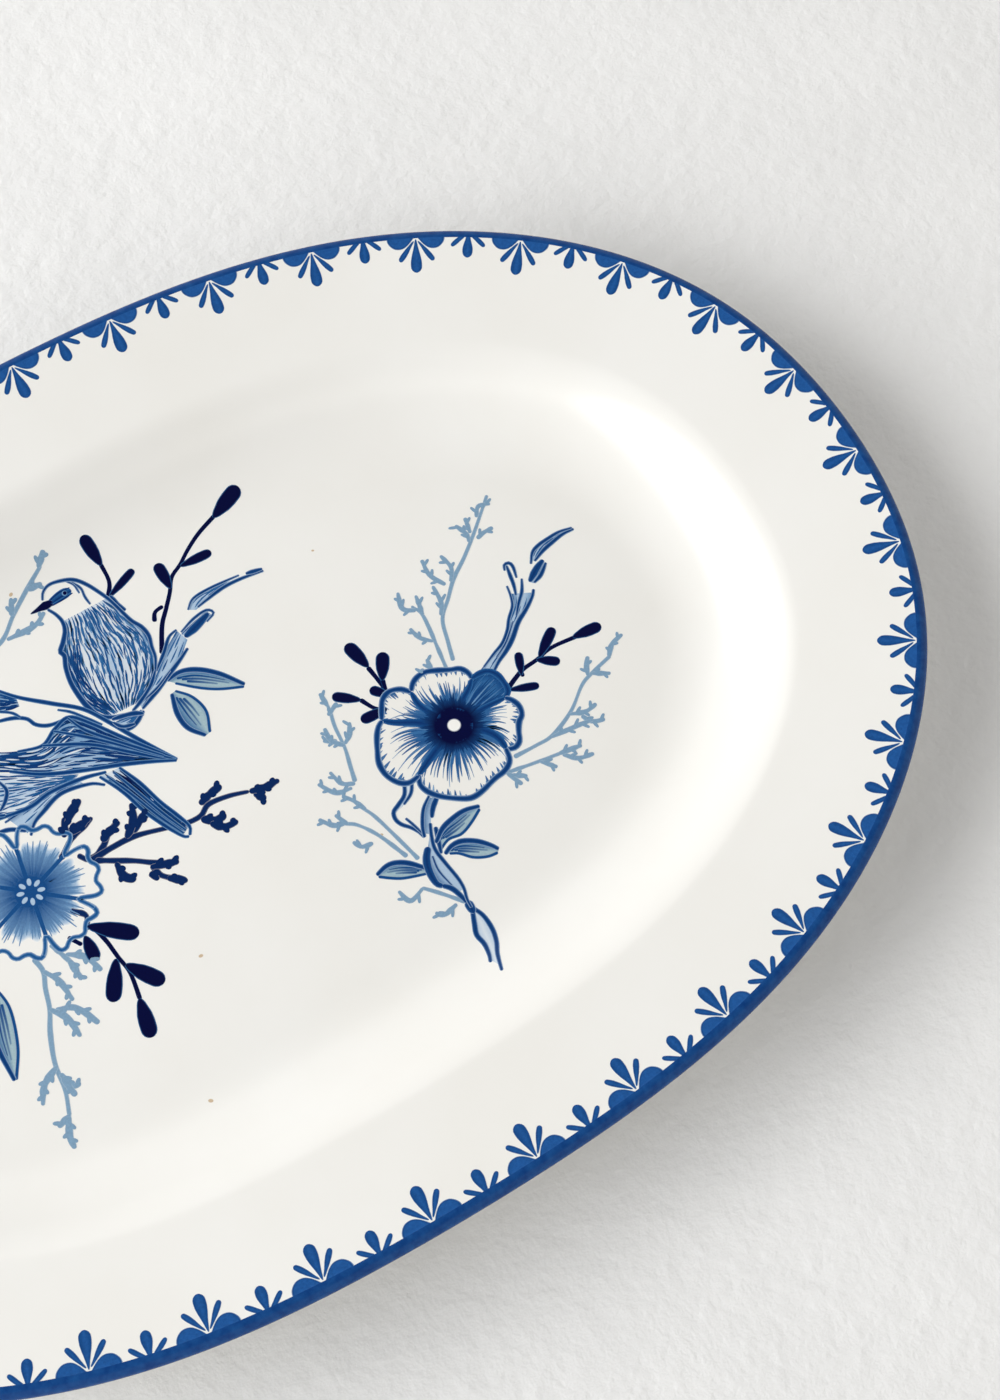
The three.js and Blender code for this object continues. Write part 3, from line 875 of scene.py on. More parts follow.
def draw_leaf(drawing, ink, upper, lower):
    """A leaf between two edges that both run from its stalk to its tip."""
    veins = 3
    shade = blend_colours(ink.leaf, ink.leaf_shade, 0.5)
    drawing.between(
        upper, lower, (ink.outline, ink.leaf_shade, shade, ink.leaf, ink.leaf, shade), lift=0.012
    )
    drawing.blade(
        upper, (0.9, 1.3, 1.2, 0.9), ink.outline, ink.halo, lift=0.045, core=ink.deep, feather=0.25
    )
    drawing.blade(lower, (0.6, 0.7, 0.7, 0.7), ink.outline, ink.halo, lift=0.04)
    top, bottom = smooth_path(upper, 20), smooth_path(lower, 20)
    for k in range(veins):
        share = 0.25 + 0.5 * (k + 0.5) / veins
        vein = (top * (1 - share) + bottom * share)[2 + k : 17 - k]
        fade = (1, 0.8, 0.35) if k else (1, 1, 0.8)
        drawing.blade(vein[::4], (0.7, 0.5, 0.3), ink.outline, shade, lift=0.03, fade=fade, feather=0.15)


def burst(drawing, ink, centre, inner, outer, rays, lift=0.03):
    """Rays that run out from a flower's middle and grow pale."""
    for k in range(rays):
        turn = 2 * math.pi * (k + drawing.random.uniform(-0.3, 0.3)) / rays
        reach = drawing.random.uniform(*outer)
        points = [(centre[0] + r * math.cos(turn), centre[1] + r * math.sin(turn)) for r in (inner, reach)]
        width = drawing.random.uniform(0.7, 1.1)
        drawing.blade(
            points, (width, 0.7 * width, 0.15 * width), ink.navy, ink.outline, lift, (1, 0.2), feather=0
        )


def draw_pansy(ink):
    """The large open flower: six petals shaded from a navy burst round a white eye."""
    drawing = Print(11)
    centre = np.array((57.9, -14.8))
    turn = np.linspace(0, 2 * math.pi, 97)[:-1]
    rims = (
        [(43.6, -4.4), (45, -2), (46.6, 0.2), (49, 1.1), (51.6, 0.2), (53.4, -1.8)],
        [(53.6, -1.6), (55, 0), (57, 0.9), (59.3, 0.9), (62, -0.3), (64.6, -1.7), (66.8, -2.7),
         (67.9, -4.6), (68, -6.5)],
        [(68, -6.4), (70.5, -6.3), (72.5, -7), (73.8, -9), (74.1, -12), (73.7, -14), (72.2, -15.1)],
        [(72.2, -15), (73.4, -16.6), (74, -18.8), (73.4, -21), (71.8, -22.3), (70.5, -24.3),
         (69.3, -26.6), (67.5, -27.5), (65.6, -26.9)],
        [(65.5, -26.5), (64.7, -29.6), (62.4, -31.3), (59, -31.9), (55, -33), (52, -33.2),
         (49.5, -32), (46, -29.3), (43.8, -26.6), (43, -23.9), (44, -21.4)],
        [(43.9, -21.7), (41, -22), (38.8, -20.6), (37.3, -17.6), (37.3, -14), (38.8, -10.5),
         (40.4, -7.6), (42, -5.6), (43.6, -4.6)],
    )
    folds = (
        [(43.5, -4.6), (46, -6.7), (50, -9.1), (54, -12)],
        [(53.4, -1.8), (53.3, -5), (54.1, -8), (56, -11.5)],
        [(68, -6.4), (66, -8.3), (63.5, -9.9), (60, -12)],
        [(72.4, -15.1), (68, -14.8), (64, -14.7), (60.5, -14.8)],
        [(65.6, -27), (65.4, -23.5), (63.9, -20.4), (60.5, -17)],
        [(43.9, -21.5), (47.5, -19.7), (51, -18.1), (55.5, -16.2)],
    )
    wash = centre + np.c_[np.cos(turn), np.sin(turn)] * (9.2 + 0.8 * np.sin(7 * turn))[:, None]
    heart = (ink.navy, ink.deep, ink.outline, ink.light, ink.ground)
    drawing.fan(centre, wash, (0.5, 0.66, 0.8, 1), heart, lift=0.01)
    dark = smooth_path([(60, -12.6), (64, -9.6), *rims[2], (68, -14.8), (63, -14.6)], 60, closed=True)
    shade = (ink.mid, ink.mid, ink.outline, ink.outline)
    drawing.fan((67.6, -11.6), dark, (0.5, 0.85, 1), shade, lift=0.014)
    bows = ((0.1, 0.1), (0.13, -0.13), (0.1, -0.05), (0.05, 0.2), (0.16, -0.16), (-0.05, -0.2))
    for rim, strokes, bow in zip(rims, (13, 16, 16, 18, 27, 22), bows):
        if rim is rims[2]:
            drawing.petal(centre, rim, 22, (0.6, 0.95), (0.5, 0.9), (ink.deep, ink.outline, ink.mid), bow)
            drawing.petal(
                centre, rim, 9, (0.5, 0.9), (0.3, 0.45), (ink.light, ink.mid, ink.mid), bow, lift=0.036
            )
            continue
        inks = (ink.outline, ink.mid, ink.light)
        drawing.petal(centre, rim, strokes, (0.36, 0.72), (0.6, 0.95), inks, bow)
        inks = (ink.mid, ink.light, ink.wash)
        drawing.petal(centre, rim, strokes // 2, (0.6, 0.82), (0.4, 0.6), inks, bow, lift=0.026)
    for rim in rims:
        halo = ink.mid if rim is rims[2] else ink.halo
        widths = (1.0, 1.35, 1.15, 1.4, 1.1, 1.35, 1.0)
        drawing.blade(rim, widths, ink.outline, halo, lift=0.05, core=ink.deep, feather=0.35)
    for fold, width in zip(folds, (1.5, 1.3, 1.2, 1.2, 1.6, 1.7)):
        widths = (0.7 * width, width, 1.2 * width, 2.2 * width)
        drawing.blade(fold, widths, ink.outline, ink.mid, lift=0.048, core=ink.deep, feather=0.3)
    reach = 5.7 + 0.6 * np.sin(5 * turn + 1) + drawing.random.uniform(-0.6, 0.6, 96)
    rim = centre + np.c_[np.cos(turn), np.sin(turn)] * reach[:, None]
    drawing.fan(centre, rim, (0.55, 0.8, 1), (ink.navy, ink.navy, ink.navy, ink.outline), lift=0.055)
    burst(drawing, ink, centre, 4.6, (6.8, 8.8), 90, lift=0.06)
    drawing.dot(centre, 1.75, ink.ground, ink.deep, lift=0.075, sides=24)
    return drawing


def draw_pansy_stalk(ink):
    """The pansy's stalk with its two sepals."""
    drawing = Print(12)
    wash = (ink.wash, blend_colours(ink.wash, ink.ground, 0.5), ink.wash)
    shaded = (ink.mid, ink.wash, ink.wash)
    long, short = {}, {"count": 12, "columns": 5}
    sides = (
        ([(36.5, -38.5), (34.5, -42), (34, -47.5), (36.2, -52)],
         [(39.5, -34.5), (37.8, -40), (38, -46), (38.4, -52)], shaded, long),
        ([(37, -58.5), (35.2, -63), (35.2, -67), (34.4, -71)],
         [(38.3, -58.5), (39, -63), (37.8, -68), (35.6, -74)], wash, long),
        ([(40.5, -21.5), (37.4, -24.8), (34.3, -27)], [(42, -22), (40, -24.5), (36.6, -26.4)], wash, short),
        ([(37.4, -35), (40, -30.4), (43, -27.8)], [(38.6, -36), (41.6, -31.6), (44.8, -28.6)],
         shaded[:2], short),
    )
    for left, right, inks, fineness in sides:
        drawing.between(left, right, inks, **fineness)
    strokes = (
        ([(40.3, -20.6), (38.5, -24), (36, -25.5), (34, -26.5), (33.4, -28.4), (34, -30.3),
          (35.4, -32), (36.5, -34), (37, -36)], 1.0),
        ([(42, -21.6), (40, -24.5), (37, -26.2)], 0.8),
        ([(35.6, -29.4), (36.4, -32), (37.2, -35.4)], 0.6),
        ([(37, -36), (38.2, -33), (40.5, -29.6), (43.5, -27.3)], 0.9),
        ([(45, -28.5), (42.6, -30.5), (41, -32.6)], 1.3),
        ([(36.5, -38.5), (34.6, -41), (33.6, -44), (33.5, -47.4), (34.6, -49)], 1.9),
        ([(34.4, -48.6), (36, -50.5), (36.8, -53), (37.2, -55.4)], 1.3),
        ([(40, -33.5), (38.5, -36.8), (37.6, -40), (37.9, -44), (38.5, -49), (38.4, -52),
          (37.7, -54.5), (37.5, -57)], 0.9),
        ([(40.6, -35), (39.6, -38), (38.3, -41.6)], 1.1),
        ([(36.2, -41), (35.6, -45), (36.4, -50)], 0.5),
        ([(37.6, -57), (38.8, -60), (38.9, -64), (38, -67.5), (36.5, -70.5), (35, -75)], 1.1),
        ([(37.6, -57), (36, -60.8), (35, -63.5), (35.3, -66.5), (34.8, -69.5), (34, -71.5)], 1.2),
        ([(37.4, -55), (37.3, -58.5)], 2.1),
    )
    drawing.lines(strokes, (0.8, 1, 0.9, 0.6), ink.outline, ink.halo, ink.deep)
    return drawing


def draw_branch(ink, washes, strokes):
    """A branch washed in pale blue between its edges, with darker strokes along it."""
    drawing = Print(13)
    for left, right in washes:
        drawing.between(left, right, (ink.mid, ink.wash, ink.wash, ink.light), lift=0.012)
        drawing.hatch(left, right, 14, (3, 7), (0.3, 0.5), (ink.mid, ink.outline), ink.wash, 0.03, 0.04)
    drawing.lines(strokes, (0.5, 1, 0.9, 0.5), ink.outline, ink.halo, ink.deep)
    return drawing


def bird_head(drawing, ink, eye, turn, size=1.0):
    """A small bird's beak, the dark stripe through its eye and the eye, drawn from the eye to the beak."""
    c, s = math.cos(turn) * size, math.sin(turn) * size

    def at(x, y):
        return (eye[0] + x * c - y * s, eye[1] + x * s + y * c)

    drawing.blade(
        [at(-8.6, 0), at(-5.5, 0.1), at(-2.4, 0.1)], (0.3, 1.1, 2.2, 1.4), ink.navy, ink.halo, 0.05
    )
    stripe = [at(-4, 0.1), at(0, 0.5), at(3, 0.6)]
    drawing.blade(stripe, (0.9, 1.9, 2.5, 2.7, 1.6), ink.mid, ink.halo, 0.045, core=ink.outline)
    for drop in (-1.0, -0.2, 1.0):
        line = [at(-3, 0.7 * drop), at(0, drop + 0.4), at(3, 0.8 * drop + 0.5)]
        drawing.blade(line, (0.3, 0.5, 0.2), ink.deep, ink.mid, 0.055, feather=0)
    drawing.dot(at(1.2, 0.6), 0.72 * size, ink.light, ink.mid, lift=0.07)
    drawing.dot(at(1.3, 0.6), 0.5 * size, ink.navy, ink.deep, lift=0.085)


def draw_perched_bird(ink):
    """The small bird on the branch, its plumage hatched from the breast down."""
    drawing = Print(14)
    left = [(-10.4, 59.5), (-11.2, 57), (-13.6, 53), (-15.4, 48), (-16.2, 44), (-16.2, 40),
            (-15.4, 36), (-12.5, 31)]
    right = [(2, 59.4), (3.2, 56), (4.2, 51), (5.6, 47), (5.4, 42), (4.2, 38), (1.6, 34.4), (-4.5, 30.6)]
    edge = blend_colours(ink.wash, ink.light, 0.6)
    pale = blend_colours(ink.ground, ink.wash, 0.45)
    inks = (edge, pale, pale, ink.wash, pale, pale, edge)
    drawing.between(left, right, inks, lift=0.01, count=30, columns=9)
    plumage = (ink.outline, ink.mid)
    drawing.hatch(left, right, 215, (3, 5.5), (0.35, 0.6), plumage, pale, 0.028, 0.02)
    drawing.hatch(
        left, right, 110, (2, 4), (0.35, 0.55), (ink.mid, ink.light), pale, 0.022, 0.02, (0.02, 0.6)
    )
    inner_left = [(-9.6, 52), (-12.4, 46), (-12.6, 40), (-11, 33)]
    drawing.hatch(left[2:], inner_left, 44, (3, 6), (0.35, 0.6), (ink.deep, ink.outline), pale, 0.034, 0.03)
    inner_right = [(1.4, 52), (2.6, 45), (1.6, 39), (-3, 33)]
    drawing.hatch(inner_right, right[3:], 20, (3, 6), (0.3, 0.5), plumage, pale, 0.034, 0.03)
    strokes = (
        ([(-12, 66.8), (-10.8, 68.6), (-8.5, 69.5), (-5, 68.8), (-2.5, 67.5), (-0.5, 65), (1, 62),
          (2.2, 59), (3, 56), (4.2, 51), (5.6, 48), (6, 45), (5.2, 42), (4.6, 39), (3, 36)], 0.9),
        ([(-12, 64.2), (-10.9, 62), (-10.4, 59.5), (-11, 57), (-12.8, 54.5), (-14.6, 52.6),
          (-14.3, 51), (-15.5, 48), (-16.3, 44), (-16.3, 40), (-15.8, 36), (-14.5, 32.5),
          (-12, 30.5), (-9, 29.5)], 1.2),
        ([(-3.5, 67.5), (-2.3, 65), (-2.5, 62.5), (-2.3, 60)], 0.55),
        ([(-5, 68.8), (-3.4, 66.6), (-3.2, 64)], 0.4),
        ([(3, 59.6), (3.6, 55.8), (4.4, 54)], 1.1),
        ([(3, 36), (0, 33), (-4, 30.6), (-7, 29.3)], 0.9),
        ([(-12.4, 30), (-9.6, 29.4), (-7, 28.6), (-5, 27.4)], 1.2),
        ([(-12.5, 29.2), (-11, 27), (-8, 26)], 0.9),
    )
    drawing.lines(strokes, (0.5, 1, 0.9, 1.1, 0.6), ink.outline, ink.halo, ink.deep, lift=0.05)
    bird_head(drawing, ink, (-7.6, 65.2), 0.0)
    return drawing


def draw_swooping_bird(ink):
    """The bird that flies down past the branch, with long wings and a narrow tail."""
    drawing = Print(15)
    pale = blend_colours(ink.ground, ink.wash, 0.4)
    shade = blend_colours(ink.wash, ink.light, 0.8)
    wing_top = [(-44, 39.5), (-36, 34.5), (-30, 32.8), (-25.5, 35), (-21, 36), (-17, 31.5),
                (-12, 24), (-4, 13)]
    wing_low = [(-46, 34.5), (-40, 31), (-34, 26.5), (-28, 23.4), (-22, 20.8), (-16, 18.4),
                (-10, 15.6), (-4, 12.4)]
    drawing.between(wing_top, wing_low, (shade, shade, ink.wash), lift=0.012, count=30)
    drawing.hatch(wing_top, wing_low, 120, (5, 11), (0.45, 0.8), (ink.deep, ink.outline), shade, 0.03, 0.04)
    drawing.hatch(
        wing_top[3:], wing_low[4:], 30, (5, 10), (0.4, 0.7), (ink.deep, ink.deep), shade, 0.04, 0.04
    )
    drawing.hatch(wing_top[:5], wing_low[:5], 26, (3, 6), (0.3, 0.5), (pale, ink.wash), shade, 0.042, 0.04)
    breast_top = [(-66, 43), (-58, 39), (-50, 36.6), (-45, 33.6), (-38, 29), (-31, 24), (-26, 21.6)]
    breast_low = [(-66.5, 38), (-60, 30), (-52, 24.6), (-46, 21.6), (-40, 20.4), (-34, 21), (-28, 20.4)]
    drawing.between(breast_top, breast_low, (pale, ink.wash, pale), lift=0.01, count=30)
    drawing.hatch(
        breast_top, breast_low, 120, (3, 6.5), (0.35, 0.6), (ink.outline, ink.mid), pale, 0.026, 0.05
    )
    back_top = [(-57, 53.4), (-50, 54), (-42, 54.6), (-36, 53.4), (-33, 51.6), (-29.6, 47.4)]
    back_low = [(-55, 49), (-48, 48), (-42, 47.6), (-37, 46.2), (-34, 45.6), (-30, 44.8)]
    drawing.between(back_top, back_low, (ink.light, shade, ink.wash), lift=0.012)
    drawing.hatch(back_top, back_low, 56, (3, 7), (0.45, 0.8), (ink.deep, ink.outline), shade, 0.03, 0.05)
    wing_edge = [(-33, 51.8), (-29, 47), (-23, 41.5), (-17, 36), (-13, 29.2), (-9.5, 22.4), (-3.8, 12.5)]
    tail_left = [(-22, 18.4), (-19, 12), (-17, 5), (-14.5, -1), (-12.2, -5.4)]
    tail_right = [(-16.8, 18), (-14.5, 12), (-12.6, 5), (-10.8, 0), (-9.6, -4)]
    drawing.between(tail_left, tail_right, (ink.wash, pale, ink.wash), lift=0.012)
    drawing.hatch(
        tail_left, tail_right, 34, (8, 16), (0.35, 0.6), (ink.deep, ink.outline), pale, 0.03, 0.03
    )
    drawing.hatch(
        tail_left, tail_right, 22, (5, 9), (0.5, 0.9), (ink.navy, ink.deep), pale, 0.036, 0.03, (0, 0.5)
    )
    strokes = (
        (wing_edge, 1.0),
        ([(-38, 44.5), (-33, 43), (-30, 41), (-28.8, 38.5), (-26, 36.6), (-21.5, 36)], 0.9),
        ([(-36, 47), (-32.5, 44.4), (-31, 42)], 0.6),
        ([(-22.5, 39.2), (-20, 37), (-17.5, 33.6), (-15, 30)], 0.6),
        (wing_top[1:], 0.9),
        ([(-30, 32.8), (-20, 27), (-12, 19.6), (-4.4, 12.6)], 0.9),
        ([(-26, 34.8), (-19, 28.4), (-11, 20), (-4, 12.6)], 0.8),
        ([(-21.4, 36), (-19, 30.6), (-12, 22), (-6, 15)], 0.8),
        (wing_low[1:], 1.0),
        ([(-48, 21.4), (-40, 20.2), (-34, 21), (-26, 20.2), (-20, 18.6)], 1.0),
        (tail_left + [(-10.9, -6.4)], 0.9),
        (tail_right + [(-10.6, -6.2)], 0.9),
        ([(-20.4, 17.6), (-17.4, 10), (-14.6, 2), (-11.6, -5)], 0.7),
        ([(-18.6, 17.8), (-16, 10), (-13.4, 2), (-10.8, -4.6)], 0.7),
        ([(-72.6, 47.6), (-69.5, 51.4), (-65, 54), (-60.5, 54.2), (-56, 53.2), (-50, 54.2), (-42, 54.8),
          (-36, 53.8), (-33, 51.8)], 1.0),
        ([(-72.4, 46.2), (-69.6, 42.6), (-67.2, 38.4), (-63, 32.6), (-57.6, 27.6), (-51, 24),
          (-46, 21.4)], 1.0),
    )
    drawing.lines(strokes, (0.6, 1, 0.9, 1, 0.6), ink.outline, ink.light, ink.deep, lift=0.05)
    bird_head(drawing, ink, (-64.4, 48.4), 0.16, 1.05)
    return drawing


def draw_blossom(ink, centre, petals, radius, turn, seed):
    """An open blossom: lobed petals in outline, a blue wash from the middle and a ring of pale stamens."""
    drawing = Print(seed)
    centre = np.asarray(centre, float)
    angle = np.linspace(0, 2 * math.pi, 181)[:-1]
    petal = (angle - turn) * petals / (2 * math.pi) % 1
    inwards = 1 - 0.26 * np.exp(-((np.minimum(petal, 1 - petal) / 0.07) ** 2))
    lobed = 1 + 0.045 * np.cos(3 * 2 * math.pi * petal + math.pi)
    reach = radius * inwards * lobed

    def around(scale):
        return centre + np.c_[np.cos(angle), np.sin(angle)] * (reach * scale)[:, None]

    ring = around(0.76)
    inks = (ink.outline, ink.outline, ink.mid, ink.light, ink.wash, ink.ground)
    drawing.fan(centre, ring, (0.3, 0.52, 0.78, 0.92, 1), inks, lift=0.012)
    rays = int(7.4 * radius)
    for k in range(rays):
        way = 2 * math.pi * (k + drawing.random.uniform(-0.4, 0.4)) / rays
        end = np.interp(way % (2 * math.pi), angle, reach) * drawing.random.uniform(0.62, 0.86)
        start = radius * drawing.random.uniform(0.2, 0.3)
        points = centre + np.array([[r * math.cos(way), r * math.sin(way)] for r in (start, end)])
        drawing.blade(points, (0.8, 0.6, 0.2), ink.outline, ink.light, 0.03, (1, 0.5, 0.1), feather=0)
    for k in range(petals):
        way = turn + 2 * math.pi * k / petals
        points = centre + np.array(
            [[r * math.cos(way), r * math.sin(way)] for r in (0.2 * radius, 0.5 * radius, 0.75 * radius)]
        )
        drawing.blade(points, (1.2, 0.9, 0.9), ink.outline, ink.mid, 0.036, (1, 0.9, 0.9))
    outline = smooth_path(around(1.0), 200, closed=True)
    start = int(np.interp(turn % (2 * math.pi), angle, np.arange(180)) / 180 * 200)
    outline = np.roll(outline, -start, axis=0)
    for k in range(petals):
        a, b = 200 * k // petals - 4, 200 * (k + 1) // petals + 5
        points = outline[np.arange(a, b) % 200][::2]
        drawing.blade(
            points, (0.7, 1.0, 0.8, 1.05, 0.7), ink.mid, ink.halo, 0.045, core=ink.outline, feather=0.3
        )
    drawing.dot(centre, 0.24 * radius, ink.outline, ink.outline, lift=0.05, sides=24)
    for k in range(8):
        way = turn + 2 * math.pi * (k + 0.5) / 8
        spot = centre + np.array((math.cos(way), math.sin(way))) * 0.155 * radius
        drawing.dot(spot, 0.036 * radius, ink.wash, ink.light, lift=0.06, stretch=1.7, turn=way)
    return drawing


def ink_colours(context):
    """The scene's ink colours by name, with the glaze between them as the ground."""
    inks = context.scene.platter_inks
    colours = SimpleNamespace(**{name: np.array(getattr(inks, name)) for name in inks.__annotations__})
    colours.halo = blend_colours(colours.ground, colours.light, 0.8)
    return colours


# ---- Where the sprays' parts lie -----------------------------------------------------------------
PANSY_BUD_STEMS = (
    [(47.7, 9.5), (48.1, 6), (48.3, 2), (47.6, 0.4)],
    [(49.2, 4.8), (48.6, 2.6), (48.2, 0.6)],
    [(41.8, 3), (43.4, -0.4), (45, -2.2)],
    [(74, -13.4), (77, -12), (80, -10.9), (84, -10.5), (89, -9.6), (96, -10.3)],
    [(79.2, -11), (78.9, -12.6)],
)
PANSY_BUDS = (
    ((47.9, 9.4), (46.3, 17.5), 3.8),
    ((49, 4.5), (52.9, 11), 3.7),
    ((48.4, 0.3), (45.2, 4.1), 2.8),
    ((41.9, 2.8), (36.4, 7.3), 2.9),
    ((46.2, -2.5), (39.2, -2), 3.1),
    ((78.8, -12), (81.2, -6.4), 2.3),
    ((85, -10.2), (92, -5.2), 2.9),
    ((84, -10.4), (88.7, -13.9), 2.7),
    ((94.8, -10), (102.4, -10.8), 3.3),
    ((74.3, -13.9), (81, -16.6), 2.3),
)
BIRD_BUD_STEMS = (
    [(6.4, 39), (10, 45.5), (13, 49), (16, 52.5), (18.5, 56), (22, 58), (25.5, 60.5), (30, 63), (36, 65.2)],
    [(9, 47.5), (10.3, 49.7), (12.8, 50.2)],
    [(2.3, 59.3), (4.6, 63), (5, 68.2)],
    [(-43.4, -13.8), (-41.5, -14.4), (-40.3, -19), (-39.8, -24), (-39.2, -29), (-40.3, -36)],
    [(-47.6, -13.6), (-45.6, -17)],
)
BIRD_BUDS = (
    ((35.2, 64.8), (44.6, 68.6), 4.4),
    ((16.8, 53.4), (17, 61.2), 3.3),
    ((21.8, 57.5), (30.2, 57), 2.8),
    ((5, 67.6), (4.5, 76), 3.7),
    ((2.8, 59.4), (11.3, 62.8), 2.3),
    ((-42.4, -13.6), (-32.8, -21.6), 4.6),
    ((-44, -15.4), (-44.6, -22.2), 3.6),
    ((-40.4, -24.2), (-46, -33.2), 4.3),
    ((-39.2, -26.6), (-33.4, -35.2), 4.5),
    ((-40.3, -35.6), (-42.4, -45.4), 4.3),
    ((-93, 27), (-98.5, 34.5), 3.6),
    ((-90.5, 31.5), (-89.5, 39.5), 3.6),
    ((-94.5, 23), (-102, 24.6), 3.2),
)
DARK_TWIGS = (
    [(-40, 4.6), (-38.5, 5.5), (-35, 8), (-31, 9), (-28.5, 10.2)],
    [(-36, 3.4), (-34, 1), (-30, 2), (-27, 4.5), (-24.5, 6)],
    [(-34, 0.5), (-28, 0.8), (-22, 0.5), (-15, -1.5), (-10, -3), (-6, -3.2), (-3, -1.6), (2, -2.2),
     (7, -3.8)],
    [(-33, 0), (-29, -2.5), (-25, -5), (-21, -8), (-17, -10.2)],
    [(-22, -8), (-21.6, -11), (-19.6, -13.4), (-17, -15.8)],
    [(-44, -8), (-41.4, -11), (-42.8, -14)],
)
DARK_SHOOTS = (
    [(-36.6, 9), (-34, 13.6)],
    [(-34.6, 11.6), (-32, 14), (-28.8, 15.8)],
    [(-36, 9.6), (-33, 9.6), (-29, 10.2)],
    [(-29.4, 3.4), (-26.4, 4.8), (-23.4, 5.8)],
    [(-24, 1), (-20.6, 4), (-18.6, 8.4)],
    [(-22, 1.6), (-19, 3.4), (-16, 4.4)],
    [(-4.8, -0.6), (-1.8, 0.5), (2, 1.1)],
    [(7, -3.9), (10.6, -4.8), (14.6, -5)],
    [(8, -4.5), (9.3, -7.8)],
    [(-6.4, -4), (-3.2, -6), (-0.6, -6)],
    [(-5, -6), (-2.4, -8.6), (1, -9)],
    [(-29, -3), (-29, -7), (-27, -9.4)],
    [(-22.6, -8.4), (-19.6, -9.4), (-16, -10.6)],
    [(-23.2, -9.4), (-22.4, -12.2)],
    [(-20.4, -12.8), (-16.6, -16)],
)
PALE_STEMS = (
    [(66.5, 0), (68, 5), (70, 11), (74, 15), (78, 19), (83, 22.5), (88, 26.5), (92, 30), (97, 34.5)],
    [(64, -1), (65, 5), (66, 11), (66.3, 15), (65.2, 18)],
    [(30, -15), (31, -11), (32.3, -6), (33, 0), (34, 4), (34.4, 7)],
    [(33, -40), (31, -31), (29.5, -25), (28, -21.5)],
    [(31, -38), (28, -30), (25, -25), (22.5, -23)],
    [(66, -29.5), (72, -29.7), (77, -29.5), (84, -26.5), (90, -22), (94, -20.5), (100, -19)],
    [(62, -32), (70, -33.5), (76, -34.5)],
    [(37, -55), (33, -50), (30, -46.6)],
)
PALE_SHOOTS = (
    [(70.2, 12), (72, 15), (72.5, 20)],
    [(75.4, 18.6), (73.4, 23), (73.8, 27.6)],
    [(77, 18.6), (79, 22), (78.4, 26.2)],
    [(86.5, 25.6), (87, 28), (85.8, 31.4)],
    [(88, 27.6), (89, 32)],
    [(88.6, 25.4), (91, 26), (93.6, 26)],
    [(91.5, 30.6), (93.6, 33), (96.4, 32)],
    [(65.6, 16.4), (63, 18.6), (64.2, 23)],
    [(66.3, 14.4), (67, 17), (67.6, 20)],
    [(65, 7), (62.6, 9.6), (61.8, 13)],
    [(60.6, 0.6), (61.2, 3.8)],
    [(58.4, 0.8), (58.9, 2.2)],
    [(34.2, 5.6), (34.2, 9.6)],
    [(32.6, -5.6), (30.4, -2.6), (30.6, 1)],
    [(32.8, -5.2), (35, -3.6), (36.6, -0.8)],
    [(33, 3.4), (36.6, 5.2)],
    [(31.6, -3.6), (28.6, -1.8)],
    [(29.8, -15.4), (27, -13.6), (26, -9.6)],
    [(28.6, -16), (24.6, -15), (22, -10.8)],
    [(28.6, -22.6), (27.2, -19), (25.4, -16.6)],
    [(22.8, -23), (20, -22), (17.6, -18.8)],
    [(23, -23.6), (21.6, -19.8)],
    [(25.8, -30.8), (23, -30.2), (21.8, -28)],
    [(92.6, -20.8), (93.4, -18.6), (95.2, -16.2)],
    [(93.6, -20.6), (97.6, -23)],
    [(99.6, -19), (102, -16.6), (105.6, -15.6)],
    [(76.4, -29.8), (84, -30.6), (87.4, -31.2)],
    [(83.4, -27), (87, -28.4), (90.4, -28)],
    [(85.6, -28.8), (87, -31.4), (90, -32.6)],
    [(75.6, -34.4), (81.6, -35.4)],
    [(70.8, -33.8), (73.6, -37.2)],
    [(76.4, -35), (79, -37.8), (83, -38.8)],
    [(62.4, -32), (64, -36.6)],
    [(63.4, -33.4), (66.2, -35.4)],
    [(30.2, -46.8), (26, -48), (24.8, -44.4)],
    [(35, -54.4), (31, -55.2), (29.5, -53.6)],
)
BIRD_PALE_STEMS = (
    [(-57, -14), (-56.5, -18), (-58, -22), (-59.5, -27), (-62, -32), (-64.5, -39), (-65.5, -46),
     (-67.5, -52)],
    [(-52, -13), (-50, -19), (-49.6, -22)],
    [(-34, 61.5), (-26, 62.4), (-20, 67), (-14, 71), (-8, 74.5)],
    [(-86, 30), (-88, 38), (-91, 46)],
    [(-78, -6), (-84, -14), (-88, -24)],
)
BIRD_PALE_SHOOTS = (
    [(-56.5, -18), (-54.4, -22), (-53.8, -28)],
    [(-59.5, -27), (-57, -31), (-56.4, -36.6)],
    [(-58.4, -27.8), (-54, -30), (-51.2, -36)],
    [(-64.4, -40), (-69, -42.5), (-71.6, -46.6)],
    [(-64.6, -42), (-63.6, -46), (-61.6, -46.4)],
    [(-64.6, -43), (-64, -48.6)],
    [(-67.2, -51.8), (-71, -53)],
    [(-67.6, -52), (-69.6, -56), (-70, -59.6)],
    [(-50, -17), (-46.4, -20), (-44.6, -25)],
    [(-50, -18.6), (-49.6, -24.6)],
    [(-24.4, 62.2), (-17, 62), (-13, 64)],
    [(-14, 71), (-10, 70.6)],
    [(-9, 74.2), (-5.6, 77.2)],
    [(-20.4, 67), (-18.4, 71)],
    [(-88, 38), (-84.4, 42)],
    [(-90.6, 45), (-94, 50)],
    [(-90.6, 45), (-87.6, 51)],
    [(-84, -14), (-89, -13.6)],
    [(-88, -24), (-86, -31)],
    [(-88, -24), (-93, -28)],
)
